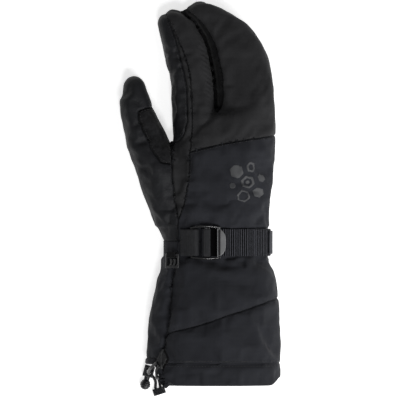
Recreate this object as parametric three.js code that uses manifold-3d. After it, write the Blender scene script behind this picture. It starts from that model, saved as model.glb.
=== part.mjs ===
// A lobster claw mitt for the right hand, lying on its palm with the fingers toward +Y.
// Millimetres, +Z up. The back of the hand is on top and the thumb is toward -X.
import * as THREE from "three";
import { mergeVertices } from "three/addons/utils/BufferGeometryUtils.js";
import Module from "manifold-3d";

const wasm = await Module();
wasm.setup();

// Driving sizes of the soft shell
const handLength = 215;
const handWidth = 93;
const handHeight = 46;
const cuffLength = 130;
const cuffWidth = 121;
const cuffHeight = 56;
const indexLength = 88;
const indexWidth = 40.5;
const indexHeight = 38;
const thumbLength = 61;
const thumbWidth = 41;
const thumbHeight = 36;
const handWall = 3.6;
const cuffWall = 2.6;

// Where the parts of the shell start
const wristY = -55;
const cuffShift = -9.5;
const fingerCrotch = { x: -6, y: wristY + 0.556 * handLength };
const thumbCrotch = { x: -0.502 * handWidth, y: wristY + 0.402 * handLength };

// The hem's corner on the thumb side, drawn up toward the hand
const cornerLift = 19;
const cornerFlat = 6.8;
const cornerSlope = 10;

// Section shape: peak across the width, widest level up the height, roundness, and flattening at the floor
const peakShare = 0.56;
const widestShare = 0.42;
const roundness = 2.3;
const floorSink = 5;

// Seams and layers
const seamGap = 0.4;
const slitGap = 1.4;
const layerGap = 0.4;
const leatherTab = 1.2;

// Strap and buckle
const strapWidth = 25.5;
const strapY = -56.2;
const webbing = 1.2;
const buckleLength = 32;
const railWidth = 1.4;
const barHeight = 2.2;
const tabFront = 3.5;
const tabBow = 8.3;

// Cord, lock and cord end
const cordDiameter = 2.7;
const cordBore = cordDiameter + 0.6;
const barrelWidth = 9.4;
const barrelLength = 10.4;
const barrelHeight = 8.4;
const ballDiameter = 9.8;
const lockTravel = 2;
const cordEndSize = { x: 11, y: 6, z: 5 };

// Each row is [along, left, right, top], in shares of its part's length, width and height.
const cuffRows = [
  [1, -0.507, 0.5, 1],
  [0.834, -0.501, 0.5, 1],
  [0.683, -0.491, 0.499, 0.99],
  [0.428, -0.457, 0.489, 0.95],
  [0.269, -0.418, 0.467, 0.89],
  [0.214, -0.396, 0.452, 0.86],
  [0.117, -0.3736, 0.41, 0.786],
];
const handRows = [
  [0, -0.587, 0.431, 0.957],
  [0.067, -0.587, 0.431, 0.957],
  [0.138, -0.592, 0.442, 0.97],
  [0.238, -0.568, 0.476, 0.99],
  [0.34, -0.528, 0.495, 1],
  [0.423, -0.5, 0.503, 0.99],
  [0.464, -0.423, 0.502, 0.98],
  [0.506, -0.268, 0.498, 0.965],
  [0.54, -0.143, 0.495, 0.95],
  [0.573, -0.085, 0.493, 0.93],
  [0.657, -0.089, 0.476, 0.89],
  [0.757, -0.128, 0.43, 0.83],
  [0.841, -0.196, 0.343, 0.76],
  [0.904, -0.283, 0.229, 0.68],
  [0.95, -0.372, 0.085, 0.59],
  [0.965, -0.383, 0.02, 0.54],
  [0.983, -0.358, -0.066, 0.47],
  [0.998, -0.3, -0.165, 0.34],
];
const indexRows = [
  [-0.584, -0.867, -0.244, 0.92],
  [-0.43, -0.956, -0.111, 1],
  [-0.174, -0.996, 0.022, 1.06],
  [0, -1, 0, 1.04],
  [0.246, -1.033, -0.033, 1],
  [0.492, -1.133, -0.111, 0.95],
  [0.717, -1.256, -0.256, 0.88],
  [0.861, -1.327, -0.449, 0.78],
  [0.912, -1.311, -0.567, 0.72],
  [0.948, -1.267, -0.656, 0.65],
  [0.973, -1.205, -0.715, 0.57],
  [0.994, -1.125, -0.765, 0.43],
];
const thumbRows = [
  [-1.41, -0.193, 0.158, 0.6],
  [-1.344, -0.226, 0.18, 0.72],
  [-1.049, -0.434, 0.35, 0.93],
  [-0.694, -0.654, 0.42, 1.06],
  [-0.34, -0.818, 0.36, 1.1],
  [-0.103, -0.945, 0.2, 1.07],
  [0.015, -1, 0.004, 1.03],
  [0.251, -1.075, -0.18, 0.98],
  [0.487, -1.136, -0.368, 0.92],
  [0.606, -1.149, -0.443, 0.88],
  [0.66, -1.156, -0.463, 0.86],
  [0.71, -1.11, -0.494, 0.84],
  [0.842, -1.08, -0.575, 0.76],
  [0.901, -1.062, -0.61, 0.7],
  [0.955, -1.012, -0.67, 0.6],
  [0.993, -0.95, -0.735, 0.42],
];

// Seams on the hand, each point as shares of the hand's length and width
const slitLine = [
  [1.01, -0.48], [0.958, -0.384], [0.925, -0.287], [0.891, -0.229], [0.856, -0.181],
  [0.808, -0.143], [0.757, -0.114], [0.661, -0.08], [0.548, -0.065],
];
const fourchetteSeam = [
  [1.01, -0.42], [0.954, -0.31], [0.925, -0.235], [0.887, -0.172], [0.849, -0.122], [0.812, -0.088],
  [0.766, -0.057], [0.7, -0.028], [0.632, -0.014], [0.59, -0.02], [0.565, -0.036], [0.548, -0.065],
];
const gussetTop = [
  [1.05, -0.66], [0.925, -0.534], [0.813, -0.415], [0.729, -0.35], [0.649, -0.321], [0.506, -0.311],
  [0.402, -0.322], [0.372, -0.33],
];
const gussetLow = [
  [0.372, -0.33], [0.238, -0.347], [0.146, -0.394], [0.088, -0.442],
];
const leatherEdge = [
  [0.925, -0.534], [0.828, -0.457], [0.774, -0.43], [0.674, -0.372], [0.565, -0.355], [0.477, -0.367],
  [0.431, -0.423], [0.406, -0.502],
];
const heelSeam = [
  [0.406, -0.502], [0.347, -0.498], [0.28, -0.496], [0.172, -0.471], [0.088, -0.442],
];
const wristSeam = [[0.088, -0.442], [-0.02, -0.442]];
const backSeam = [
  [0.372, -0.33], [0.392, -0.162], [0.415, 0.08], [0.436, 0.399], [0.456, 0.7],
];
const patchSeam = [
  [0.575, -0.6], [0.561, -0.722], [0.547, -0.813], [0.531, -0.826], [0.499, -0.809], [0.43, -0.744],
  [0.391, -0.705], [0.356, -0.648], [0.332, -0.592], [0.324, -0.498],
];
const thumbGap = [[0.75, -0.66], [0.6, -0.62], [0.5, -0.57], [0.45, -0.527], [0.406, -0.502]];

// Seams on the cuff, each point as shares of the cuff's length and width
const cuffSideSeam = [
  [-0.02, -0.262], [0.103, -0.273], [0.29, -0.314], [0.455, -0.334], [0.6, -0.349], [0.738, -0.37],
  [0.9, -0.378],
];
const diagonalSeam = [
  [0.66, -0.42], [0.638, -0.336], [0.576, -0.099], [0.486, 0.199], [0.407, 0.444], [0.35, 0.66],
];
const hemShare = 0.845;

// The side seams' height above the floor, from the hem to the fingertips, as [along Y, height]
const sideSeam = [
  [-200, 20], [wristY, 15.5], [0, 15], [40, 12.5], [75, 9.5], [95, 8], [140, 7], [170, 5.5],
];

const colours = {
  softshell: 0x2b2c2e,
  leather: 0x1e1f21,
  suede: 0x242528,
  webbing: 0x202123,
  plastic: 0x3c3d3f,
};

const lerp = THREE.MathUtils.lerp;
const smoothstep = THREE.MathUtils.smoothstep;

const handPoint = ([along, across]) => [across * handWidth, wristY + along * handLength];
const cuffPoint = ([along, across]) => [cuffShift + across * cuffWidth, wristY - along * cuffLength];

// How far the hem's corner is drawn up at a point.
function hemLift(x, y) {
  const corner = cuffShift - 0.507 * cuffWidth;
  const side = 1 - smoothstep(x, corner + cornerFlat, corner + cornerFlat + cornerSlope);
  const along = smoothstep(-y, -wristY + 0.77 * cuffLength, -wristY + cuffLength);
  return cornerLift * side * along;
}

// Turns a part's rows into sections in millimetres.
function sections(rows, originX, originY, length, width, height, wall) {
  return rows.map(([along, left, right, top]) => ({
    y: originY + along * length,
    left: originX + left * width,
    right: originX + right * width,
    top: top * height,
    wall,
  }));
}

const bodySections = [
  ...sections(cuffRows, cuffShift, wristY, -cuffLength, cuffWidth, cuffHeight, cuffWall),
  ...sections(handRows, 0, wristY, handLength, handWidth, handHeight, handWall),
];
const indexSections = sections(
  indexRows, fingerCrotch.x, fingerCrotch.y, indexLength, indexWidth, indexHeight, handWall,
);
const thumbSections = sections(
  thumbRows, thumbCrotch.x, thumbCrotch.y, thumbLength, thumbWidth, thumbHeight, handWall,
);

// The section of the hand and cuff at any place along them.
function bodySectionAt(y) {
  const next = bodySections.findIndex((section) => section.y > y);
  const low = bodySections[next - 1];
  const high = bodySections[next];
  const t = (y - low.y) / (high.y - low.y);
  return {
    y,
    left: lerp(low.left, high.left, t),
    right: lerp(low.right, high.right, t),
    top: lerp(low.top, high.top, t),
  };
}

// A point of a section at an angle: four quarter ovals round the peak, cut flat at the floor.
function sectionPoint({ left, right, top }, base, angle) {
  const power = 2 / roundness;
  const across = Math.sign(Math.cos(angle)) * Math.abs(Math.cos(angle)) ** power;
  const up = Math.sign(Math.sin(angle)) * Math.abs(Math.sin(angle)) ** power;
  const peak = lerp(left, right, peakShare);
  const widest = lerp(base, top, widestShare);
  const x = peak + across * (across < 0 ? peak - left : right - peak);
  const z = up > 0 ? widest + up * (top - widest) : widest + up * (widest - base + floorSink);
  return [x, Math.max(base, z)];
}

// The height of the hand's or cuff's upper surface over a point.
function surfaceHeight(x, y) {
  const section = bodySectionAt(y);
  const peak = lerp(section.left, section.right, peakShare);
  const reach = x < peak ? peak - section.left : section.right - peak;
  const share = Math.min(1, Math.abs(x - peak) / reach);
  const widest = widestShare * section.top;
  return widest + (section.top - widest) * (1 - share ** roundness) ** (1 / roundness);
}

// Turns a geometry into a solid for the boolean operations.
function solidOf(geometry) {
  geometry.deleteAttribute("normal");
  geometry.deleteAttribute("uv");
  const merged = mergeVertices(geometry, 1e-4);
  return new wasm.Manifold(
    new wasm.Mesh({
      numProp: 3,
      vertProperties: merged.attributes.position.array,
      triVerts: new Uint32Array(merged.index.array),
    }),
  );
}

// Joins closed rings of points, given from -Y to +Y, and closes both ends.
function loft(rings) {
  const count = rings[0].length;
  const positions = rings.flat(2);
  const faces = [];
  for (let row = 0; row < rings.length - 1; row += 1) {
    for (let i = 0; i < count; i += 1) {
      const here = row * count + i;
      const beside = row * count + ((i + 1) % count);
      faces.push(here, here + count, beside, here + count, beside + count, beside);
    }
  }
  const last = (rings.length - 1) * count;
  for (let i = 1; i < count - 1; i += 1) {
    faces.push(0, i, i + 1, last, last + i + 1, last + i);
  }
  const geometry = new THREE.BufferGeometry();
  geometry.setAttribute("position", new THREE.Float32BufferAttribute(positions, 3));
  geometry.setIndex(faces);
  return solidOf(geometry);
}

// Lofts one part of the mitt. A depth of 1 gives the inside of the wall and 0 the outside.
function loftPart(partSections, count, depth, grow = 0) {
  const tip = partSections[partSections.length - 1].y;
  const rings = [];
  for (const section of partSections) {
    const inset = depth * section.wall - grow;
    const pulled = section.y - inset * smoothstep(section.y, tip - 30, tip);
    const inner = {
      left: section.left + inset,
      right: section.right - inset,
      top: section.top - inset,
    };
    const tooSmall = inner.right - inner.left < 5 || inner.top - inset < 4;
    if (depth > 0 && tooSmall) continue;
    const ring = [];
    for (let i = 0; i < count; i += 1) {
      const [x, z] = sectionPoint(inner, inset, (i / count) * 2 * Math.PI);
      ring.push([x, pulled + hemLift(x, section.y), z]);
    }
    rings.push(ring);
  }
  return loft(rings);
}

// The whole mitt as one solid, outside or inside.
function mittSolid(depth, grow = 0) {
  const body = depth > 0 ? openedAtHem(bodySections) : bodySections;
  return loftPart(body, 36, depth, grow)
    .add(loftPart(indexSections, 26, depth, grow))
    .add(loftPart(thumbSections, 26, depth, grow));
}

// The inside runs on past the hem, so that the cuff is open there.
function openedAtHem(list) {
  return [{ ...list[0], y: list[0].y - 2 }, ...list];
}

// A column over an outline in the XY plane.
function column(points, low = -20, high = 120) {
  const shape = new THREE.Shape(points.map(([x, y]) => new THREE.Vector2(x, y)));
  const geometry = new THREE.ExtrudeGeometry(shape, { depth: high - low, bevelEnabled: false });
  return solidOf(geometry.translate(0, 0, low));
}

// The outline of a strip of even width along a line of points.
function stripOutline(points, width) {
  const left = [];
  const right = [];
  points.forEach(([x, y], i) => {
    const before = points[Math.max(0, i - 1)];
    const after = points[Math.min(points.length - 1, i + 1)];
    const length = Math.hypot(after[0] - before[0], after[1] - before[1]);
    const nx = (-(after[1] - before[1]) / length) * (width / 2);
    const ny = ((after[0] - before[0]) / length) * (width / 2);
    left.push([x + nx, y + ny]);
    right.unshift([x - nx, y - ny]);
  });
  return [...left, ...right];
}

const seamCut = (points, width = seamGap) => column(stripOutline(points, width));

// A solid along X whose side view in Y and Z is the outline.
function alongX(points) {
  const shape = new THREE.Shape(points.map(([y, z]) => new THREE.Vector2(y, z)));
  const geometry = new THREE.ExtrudeGeometry(shape, { depth: 400, bevelEnabled: false });
  const turn = new THREE.Matrix4().makeBasis(
    new THREE.Vector3(0, 1, 0),
    new THREE.Vector3(0, 0, 1),
    new THREE.Vector3(1, 0, 0),
  );
  return solidOf(geometry.applyMatrix4(turn).translate(-200, 0, 0));
}

// A seam point or two that overshoots leaves slivers, which the largest body leaves behind.
function largestBody(solid) {
  return solid.decompose().sort((a, b) => b.volume() - a.volume())[0];
}

// Cuts the shell along its seams into the sewn panels.
function sewnPanels() {
  const shell = mittSolid(0).subtract(mittSolid(1));
  const above = alongX([...sideSeam, [170, 120], [-200, 120]]);
  const seamBand = alongX([
    ...sideSeam.map(([y, z]) => [y, z - seamGap / 2]),
    ...[...sideSeam].reverse().map(([y, z]) => [y, z + seamGap / 2]),
  ]);
  const hand = (points) => points.map(handPoint);
  const cuff = (points) => points.map(cuffPoint);
  const back = (points) => [...points].reverse();

  const fourchette = column([...hand(slitLine), ...back(hand(fourchetteSeam))]);
  const fingerBack = column([
    ...hand(gussetTop),
    ...hand(backSeam),
    ...hand([[1.1, 0.7], [1.1, -0.66]]),
  ]).subtract(fourchette);
  const handBack = column([
    ...hand(gussetLow),
    ...hand([[0, -0.442], [0, 0.7]]),
    ...back(hand(backSeam)),
  ]);
  const gusset = column([
    ...hand(gussetTop.slice(1)),
    ...hand(gussetLow),
    ...back(hand(heelSeam)),
    ...back(hand(leatherEdge)),
  ]);
  const thumb = column([
    ...hand(thumbGap),
    ...hand(heelSeam),
    ...hand([[0, -0.442], [0, -1.4], [0.75, -1.4]]),
  ]);
  const patch = column([
    ...hand(patchSeam),
    ...hand([[0.406, -0.502], [0.45, -0.527], [0.5, -0.57]]),
  ]);
  const hemY = cuffPoint([hemShare, 0])[1];
  const hemLine = [-90, -70, -67, -64, -61, -58, -55, -52, -48, 80]
    .map((x) => [x, hemY + hemLift(x, hemY)]);
  const cuffZone = column([...hemLine, ...cuff([[0, 0.8], [0, -0.8]])]);
  const cuffBackZone = column([...cuff(cuffSideSeam), [80, hemY - 20], ...cuff([[0, 0.8]])]);
  const aboveDiagonal = column([...cuff(diagonalSeam), ...cuff([[-0.1, 0.8], [-0.1, -0.42]])]);
  const cuffBack = cuffZone.intersect(cuffBackZone);
  const handZone = column(hand([[0, -1.5], [0, 1], [1.2, 1], [1.2, -1.5]]));

  const backZones = fingerBack.add(handBack).add(gusset).add(thumb).add(fourchette).add(cuffBack);
  const topCuts = [gussetTop, gussetLow, leatherEdge, backSeam, patchSeam, fourchetteSeam]
    .map((line) => seamCut(hand(line)))
    .concat([seamCut(cuff(cuffSideSeam)), seamCut(cuff(diagonalSeam)).intersect(cuffBack)])
    .reduce((sum, cut) => sum.add(cut))
    .intersect(above);
  const throughCuts = seamCut(hand(slitLine), slitGap)
    .add(seamCut(hand([...thumbGap, ...heelSeam, ...wristSeam.slice(1)])))
    .add(seamCut([[-150, wristY], [100, wristY]]))
    .add(seamCut(hemLine));
  const cut = shell
    .subtract(topCuts)
    .subtract(throughCuts)
    .subtract(seamBand.intersect(backZones));

  const top = cut.intersect(above);
  const low = cut.subtract(above);
  return {
    finger_back_panel: top.intersect(fingerBack),
    hand_back_panel: top.intersect(handBack).intersect(handZone),
    index_gusset: top.intersect(gusset),
    finger_fourchette: top.intersect(fourchette),
    thumb_wipe_patch: top.intersect(patch),
    thumb_back: top.intersect(thumb).intersect(handZone).subtract(patch),
    thumb_palm: low.intersect(thumb).intersect(handZone),
    palm_leather: cut
      .intersect(handZone)
      .subtract(thumb)
      .subtract(above.intersect(fingerBack.add(handBack).add(gusset).add(fourchette))),
    cuff_upper_back: top.intersect(cuffBack).intersect(aboveDiagonal),
    cuff_lower_back: top.intersect(cuffBack).subtract(aboveDiagonal),
    cuff_palm_panel: cut.intersect(cuffZone).subtract(above.intersect(cuffBack)),
    hem_band: cut.subtract(handZone).subtract(cuffZone),
  };
}

// The smallest section that holds those of a stretch of the hand or cuff.
function widestSection([lowY, highY]) {
  const found = [lowY, (lowY + highY) / 2, highY].map(bodySectionAt);
  return {
    left: Math.min(...found.map(({ left }) => left)),
    right: Math.max(...found.map(({ right }) => right)),
    top: Math.max(...found.map(({ top }) => top)),
  };
}

// A line over the top of a section, measured from where it crosses startX.
function surfaceLine(section, startX) {
  const points = [];
  for (let i = 0; i <= 160; i += 1) {
    const [x, z] = sectionPoint(section, 0, Math.PI * (1 - (1.2 * i) / 160));
    points.push([x, z]);
  }
  const lengths = [0];
  for (let i = 1; i < points.length; i += 1) {
    const step = Math.hypot(points[i][0] - points[i - 1][0], points[i][1] - points[i - 1][1]);
    lengths.push(lengths[i - 1] + step);
  }
  const first = points.findIndex(([x]) => x >= startX);
  return { points, lengths, zero: lengths[first], full: lengths[lengths.length - 1] - lengths[first] };
}

// The point at a distance along a surface line and a height above it.
function onLine(line, distance, height) {
  const { points, lengths, zero } = line;
  const target = distance + zero;
  let i = lengths.findIndex((length) => length >= target);
  i = Math.min(Math.max(i, 1), points.length - 1);
  const t = (target - lengths[i - 1]) / (lengths[i] - lengths[i - 1]);
  const [x0, z0] = points[Math.max(0, i - 2)];
  const [x1, z1] = points[Math.min(points.length - 1, i + 1)];
  const size = Math.hypot(x1 - x0, z1 - z0);
  return [
    lerp(points[i - 1][0], points[i][0], t) - ((z1 - z0) / size) * height,
    lerp(points[i - 1][1], points[i][1], t) + ((x1 - x0) / size) * height,
  ];
}

// A solid between two places along Y whose outline is in X and Z.
function alongY(points, lowY, highY) {
  const shape = new THREE.Shape(points.map(([x, z]) => new THREE.Vector2(x, z)));
  const geometry = new THREE.ExtrudeGeometry(shape, { depth: highY - lowY, bevelEnabled: false });
  return solidOf(geometry.rotateX(Math.PI / 2).translate(0, highY, 0));
}

// A plate that follows a surface line, between two distances and two heights.
function plateOn(line, [from, to], [low, high], [lowY, highY]) {
  const steps = Math.max(1, Math.ceil((to - from) / 3));
  const under = [];
  const over = [];
  for (let i = 0; i <= steps; i += 1) {
    const distance = lerp(from, to, i / steps);
    under.push(onLine(line, distance, low));
    over.unshift(onLine(line, distance, high));
  }
  return alongY([...under, ...over], lowY, highY);
}

// A flat band whose middle runs through [distance, height] points over a surface line.
function bandOn(line, path, thickness, lowY, highY) {
  const points = path.map(([s, h]) => new THREE.Vector3(s, h, 0));
  const curve = new THREE.CatmullRomCurve3(points, false, "centripetal");
  const middle = curve.getPoints(path.length * 4).map(({ x, y }) => onLine(line, x, y));
  return alongY(stripOutline(middle, thickness), lowY, highY);
}

const strapRange = [strapY - strapWidth / 2, strapY + strapWidth / 2];
const wristLine = surfaceLine(widestSection(strapRange), -29);
const lowerLayer = layerGap + webbing / 2;
const upperLayer = lowerLayer + webbing + layerGap;
const barLow = lowerLayer + webbing / 2 + layerGap;
const overBar = barLow + barHeight + layerGap + webbing / 2;

// The short end of webbing, sewn down at the thumb side and folded round the buckle's first bar.
function strapAnchor() {
  const path = [
    [-9.5, lowerLayer], [-5, lowerLayer], [0, lowerLayer], [4.4, lowerLayer],
    [6.3, (lowerLayer + overBar) / 2], [4.4, overBar], [0.6, overBar], [-3, upperLayer + 1.2],
    [-6, upperLayer + 0.2], [-9.5, upperLayer],
  ];
  return bandOn(wristLine, path, webbing, ...strapRange);
}

// The long webbing: up from the far side, through the buckle, and back over itself to a folded end.
function strapWebbing() {
  const end = wristLine.full;
  const tail = end - 29;
  const path = [
    [end - 8, lowerLayer], [end - 16, lowerLayer], [end - 26, lowerLayer], [tail - 8, lowerLayer],
    [44, lowerLayer], [32, lowerLayer], [20, lowerLayer], [11.4, lowerLayer],
    [9.3, (lowerLayer + overBar) / 2], [11.2, overBar], [16.4, overBar], [18.3, upperLayer + 1.6],
    [19.4, upperLayer + 0.5], [21, upperLayer], [30, upperLayer], [44, upperLayer],
    [tail - 8, upperLayer],
    [tail + 3, upperLayer], [tail + 8, upperLayer + 0.3], [tail + 10, upperLayer + 1.5],
    [tail + 8, upperLayer + 2.6], [tail + 2, upperLayer + 2.2],
  ];
  return bandOn(wristLine, path, webbing, ...strapRange);
}

// The buckle's front edge bows toward the strap's free end.
function tabOutline(reach) {
  const points = [[-60, strapY + reach], [-60, strapY - reach]];
  for (let i = -10; i <= 10; i += 1) {
    const share = i / 10;
    points.push([tabFront - tabBow * Math.abs(share) ** 3.5, strapY + share * reach]);
  }
  return points;
}

// The ladder buckle: two rails, two bars and a raised front tab.
function ladderBuckle() {
  const outer = strapWidth / 2 + 0.4 + railWidth;
  const inner = strapWidth / 2 + 0.4;
  const bars = [barLow, barLow + barHeight];
  const whole = [strapY - outer, strapY + outer];
  const tabLow = upperLayer + webbing / 2 + layerGap;
  const rail = (range) =>
    plateOn(wristLine, [0, buckleLength - 1], bars, range).add(
      plateOn(wristLine, [20, buckleLength - 1], [barLow, tabLow + 1.4], range),
    );
  return rail([strapY - outer, strapY - inner])
    .add(rail([strapY + inner, strapY + outer]))
    .add(plateOn(wristLine, [0, 4], bars, whole))
    .add(plateOn(wristLine, [11.5, 17], bars, whole))
    .add(plateOn(wristLine, [23.4, buckleLength], [tabLow, tabLow + 1.8], whole))
    .add(plateOn(wristLine, [25.2, buckleLength + 1.5], [tabLow + 1, tabLow + 2.6], whole))
    .intersect(column(tabOutline(outer)));
}

// The small clip that hooks one mitt to the other, and the webbing loop that holds it.
const clipY = { low: -79.2, high: -66.4 };
const clipLine = surfaceLine(bodySectionAt(-74.5), -47);
const clipLow = layerGap + 1 + layerGap;

function gloveClip() {
  const heights = [clipLow, clipLow + 2.4];
  const plate = plateOn(clipLine, [-3.8, 8.8], heights, [clipY.low, clipY.high]);
  const window = plateOn(clipLine, [-2.3, 6.8], [0, 9], [clipY.low + 1.9, clipY.high - 1.9]);
  const prong = (at) =>
    plateOn(clipLine, [at, at + 1.5], heights, [clipY.low + 1, clipY.high - 4.2]);
  return plate.subtract(window).add(prong(0)).add(prong(3.2));
}

function clipLoop() {
  const across = [-1.4, 5.8];
  const over = clipLow + 2.4 + layerGap;
  const inside = [clipY.high - 3.3, clipY.high - 2.3];
  const outside = [clipY.high + 0.4, clipY.high + 1.4];
  return plateOn(clipLine, across, [layerGap, layerGap + 1], [inside[0], outside[1]])
    .add(plateOn(clipLine, across, [over, over + 1], [inside[0], outside[1]]))
    .add(plateOn(clipLine, across, [layerGap, over + 1], inside))
    .add(plateOn(clipLine, across, [layerGap, over + 1], outside));
}

// The leather diamond on the hem that the drawcord comes out of.
function cordExitTab() {
  const outline = [[-54.7, -151.2], [-49.8, -160], [-56.5, -171], [-60.5, -165]];
  const layer = mittSolid(0, layerGap + leatherTab).subtract(mittSolid(0, layerGap));
  return largestBody(layer.intersect(column(outline, 25)));
}

// A round solid along a smooth line of points.
function tube(points, diameter, sides = 10) {
  const path = points.map((point) => new THREE.Vector3(...point));
  const curve = new THREE.CatmullRomCurve3(path, false, "centripetal");
  const circle = new THREE.Shape();
  for (let i = 0; i < sides; i += 1) {
    const angle = (i / sides) * 2 * Math.PI;
    const spot = [Math.cos(angle) * (diameter / 2), Math.sin(angle) * (diameter / 2)];
    if (i === 0) circle.moveTo(...spot);
    else circle.lineTo(...spot);
  }
  const options = { steps: points.length * 5, extrudePath: curve, bevelEnabled: false };
  return solidOf(new THREE.ExtrudeGeometry(circle, options));
}

// The lock lies beside the hem's corner, with its button pointing away from the cuff.
const lockCentre = new THREE.Vector3(-67.9, -173.2, 7.2);
const lockTurn = THREE.MathUtils.degToRad(-15);

function placeAtLock(geometry) {
  return geometry.rotateZ(lockTurn).translate(lockCentre.x, lockCentre.y, lockCentre.z);
}

// A cylinder whose axis runs along Y, from one place to another.
function rodY(diameter, from, to, sides = 32) {
  return new THREE.CylinderGeometry(diameter / 2, diameter / 2, to - from, sides)
    .translate(0, (from + to) / 2, 0);
}

const stemDiameter = 5.2;
const boreY = -0.25;
const stemEnd = boreY + cordBore / 2 + 0.8;

// The barrel is hollow along Y for the stem and has an upright bore for the cord.
function lockBarrel() {
  const half = barrelLength / 2;
  const body = solidOf(placeAtLock(new THREE.BoxGeometry(barrelWidth, barrelLength, barrelHeight)));
  const hollow = solidOf(placeAtLock(rodY(stemDiameter + 0.8, -half - 1, stemEnd + lockTravel + 0.2)));
  const bore = new THREE.CylinderGeometry(cordBore / 2, cordBore / 2, 30, 20).rotateX(Math.PI / 2);
  return body.subtract(hollow).subtract(solidOf(placeAtLock(bore.translate(0, boreY, 0))));
}

// The plunger's stem has a slot that lets the cord stay still while the button goes in.
function lockPlunger() {
  const ballY = -barrelLength / 2 - lockTravel - ballDiameter / 2 - 0.3;
  const stem = solidOf(placeAtLock(rodY(stemDiameter, ballY, stemEnd)));
  const sphere = new THREE.SphereGeometry(ballDiameter / 2, 24, 16).translate(0, ballY, 0);
  const ball = solidOf(placeAtLock(sphere));
  const slotLength = cordBore + lockTravel;
  const slot = new THREE.BoxGeometry(cordBore, slotLength, 30).translate(0, boreY - lockTravel / 2, 0);
  return stem.add(ball).subtract(solidOf(placeAtLock(slot)));
}

// The lock's own frame, in which the bore for the cord is found.
function lockPoint(x, y, z) {
  return new THREE.Vector3(x, y, z)
    .applyAxisAngle(new THREE.Vector3(0, 0, 1), lockTurn)
    .add(lockCentre)
    .toArray();
}

// The cord end lies a little turned, with its two bores toward the cuff.
const endCentre = new THREE.Vector3(-58.5, -191.5, cordEndSize.z / 2);
const endTurn = THREE.MathUtils.degToRad(18);
const endBoreOffset = 2.3;

function placeAtEnd(geometry) {
  return geometry.rotateZ(endTurn).translate(endCentre.x, endCentre.y, endCentre.z);
}

function endPoint(x, y, z) {
  return new THREE.Vector3(x, y, z)
    .applyAxisAngle(new THREE.Vector3(0, 0, 1), endTurn)
    .add(endCentre)
    .toArray();
}

function cordEnd() {
  const { x, y, z } = cordEndSize;
  const body = solidOf(placeAtEnd(new THREE.BoxGeometry(x, y, z)));
  const bore = (offset) =>
    solidOf(placeAtEnd(rodY(cordBore, -y / 2 + 1.6, y).translate(offset, 0, 0)));
  return body.subtract(bore(-endBoreOffset)).subtract(bore(endBoreOffset));
}

// How far a cord's middle lies over the leather tab, on the slope of the cuff.
const overTab = 4.4;

// The free strand from the tab, over the hem's edge and down to the cord end.
function drawcordLong() {
  return tube(
    [
      [-58, -166.5, surfaceHeight(-58, -166.5) + overTab],
      [-60.4, -170.6, surfaceHeight(-60.4, -170.6) + 3.9],
      [-60.4, -174.2, surfaceHeight(-60.4, -173.5) + 2.8],
      [-60.3, -176.8, 45],
      [-60, -178.2, 41],
      [-59.6, -178.3, 33],
      [-59.2, -178.3, 22],
      [-58.9, -179.2, 12],
      [-58.6, -181, 6],
      [-58.2, -182.9, 3.4],
      [-57.9, -184.7, 2.5],
      endPoint(endBoreOffset, 4.4, 0),
      endPoint(endBoreOffset, 2, 0),
      endPoint(endBoreOffset, -1.1, 0),
    ],
    cordDiameter,
  );
}

// The strand that the lock grips: down through its bore, and along the floor to the cord end.
function drawcordShort() {
  const [x, y] = lockPoint(0, boreY, 0);
  return tube(
    [
      [-59.9, -163.9, surfaceHeight(-59.9, -163.9) + overTab],
      [-62.8, -166.2, surfaceHeight(-62.8, -166.2) + 4],
      [-65.8, -169.2, 40],
      lockPoint(0, boreY, 20),
      lockPoint(0, boreY, 5),
      [x, y, 3.2],
      [x + 0.3, y - 0.5, 1.9],
      [x + 1.5, y - 2.4, 1.4],
      [x + 4.4, y - 5.6, 1.4],
      [-61.8, -182.6, 1.4],
      [-61.7, -185.6, 2],
      endPoint(-endBoreOffset, 4.2, 0),
      endPoint(-endBoreOffset, 2, 0),
      endPoint(-endBoreOffset, -1.1, 0),
    ],
    cordDiameter,
  );
}

function material(colour, roughness) {
  return new THREE.MeshStandardMaterial({ color: colour, roughness, metalness: 0 });
}

const materials = {
  softshell: material(colours.softshell, 0.85),
  leather: material(colours.leather, 0.55),
  suede: material(colours.suede, 0.95),
  webbing: material(colours.webbing, 0.8),
  plastic: material(colours.plastic, 0.35),
};

// The part: one named mesh for each sewn panel and each piece of hardware.
const mitt = new THREE.Group();
mitt.name = "lobster_claw_mitt";

function addPiece(name, solid, kind) {
  const { vertProperties, triVerts } = solid.getMesh();
  const geometry = new THREE.BufferGeometry();
  geometry.setAttribute("position", new THREE.Float32BufferAttribute(vertProperties, 3));
  geometry.setIndex([...triVerts]);
  const mesh = new THREE.Mesh(geometry.toNonIndexed(), materials[kind]);
  mesh.geometry.computeVertexNormals();
  mesh.name = name;
  mitt.add(mesh);
}

const panelKinds = {
  finger_back_panel: "softshell",
  hand_back_panel: "softshell",
  index_gusset: "softshell",
  finger_fourchette: "leather",
  thumb_wipe_patch: "suede",
  thumb_back: "leather",
  thumb_palm: "leather",
  palm_leather: "leather",
  cuff_upper_back: "softshell",
  cuff_lower_back: "softshell",
  cuff_palm_panel: "softshell",
  hem_band: "softshell",
};

const panels = sewnPanels();
for (const [name, kind] of Object.entries(panelKinds)) {
  addPiece(name, largestBody(panels[name]), kind);
}
addPiece("strap_anchor", strapAnchor(), "webbing");
addPiece("strap_webbing", strapWebbing(), "webbing");
addPiece("ladder_buckle", ladderBuckle(), "plastic");
addPiece("glove_clip", gloveClip(), "plastic");
addPiece("clip_loop", clipLoop(), "webbing");
addPiece("cord_exit_tab", cordExitTab(), "leather");
addPiece("drawcord_long", drawcordLong(), "webbing");
addPiece("drawcord_short", drawcordShort(), "webbing");
addPiece("cord_lock_barrel", lockBarrel(), "plastic");
addPiece("cord_lock_plunger", lockPlunger(), "plastic");
addPiece("cord_end", cordEnd(), "plastic");

export default mitt;
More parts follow.
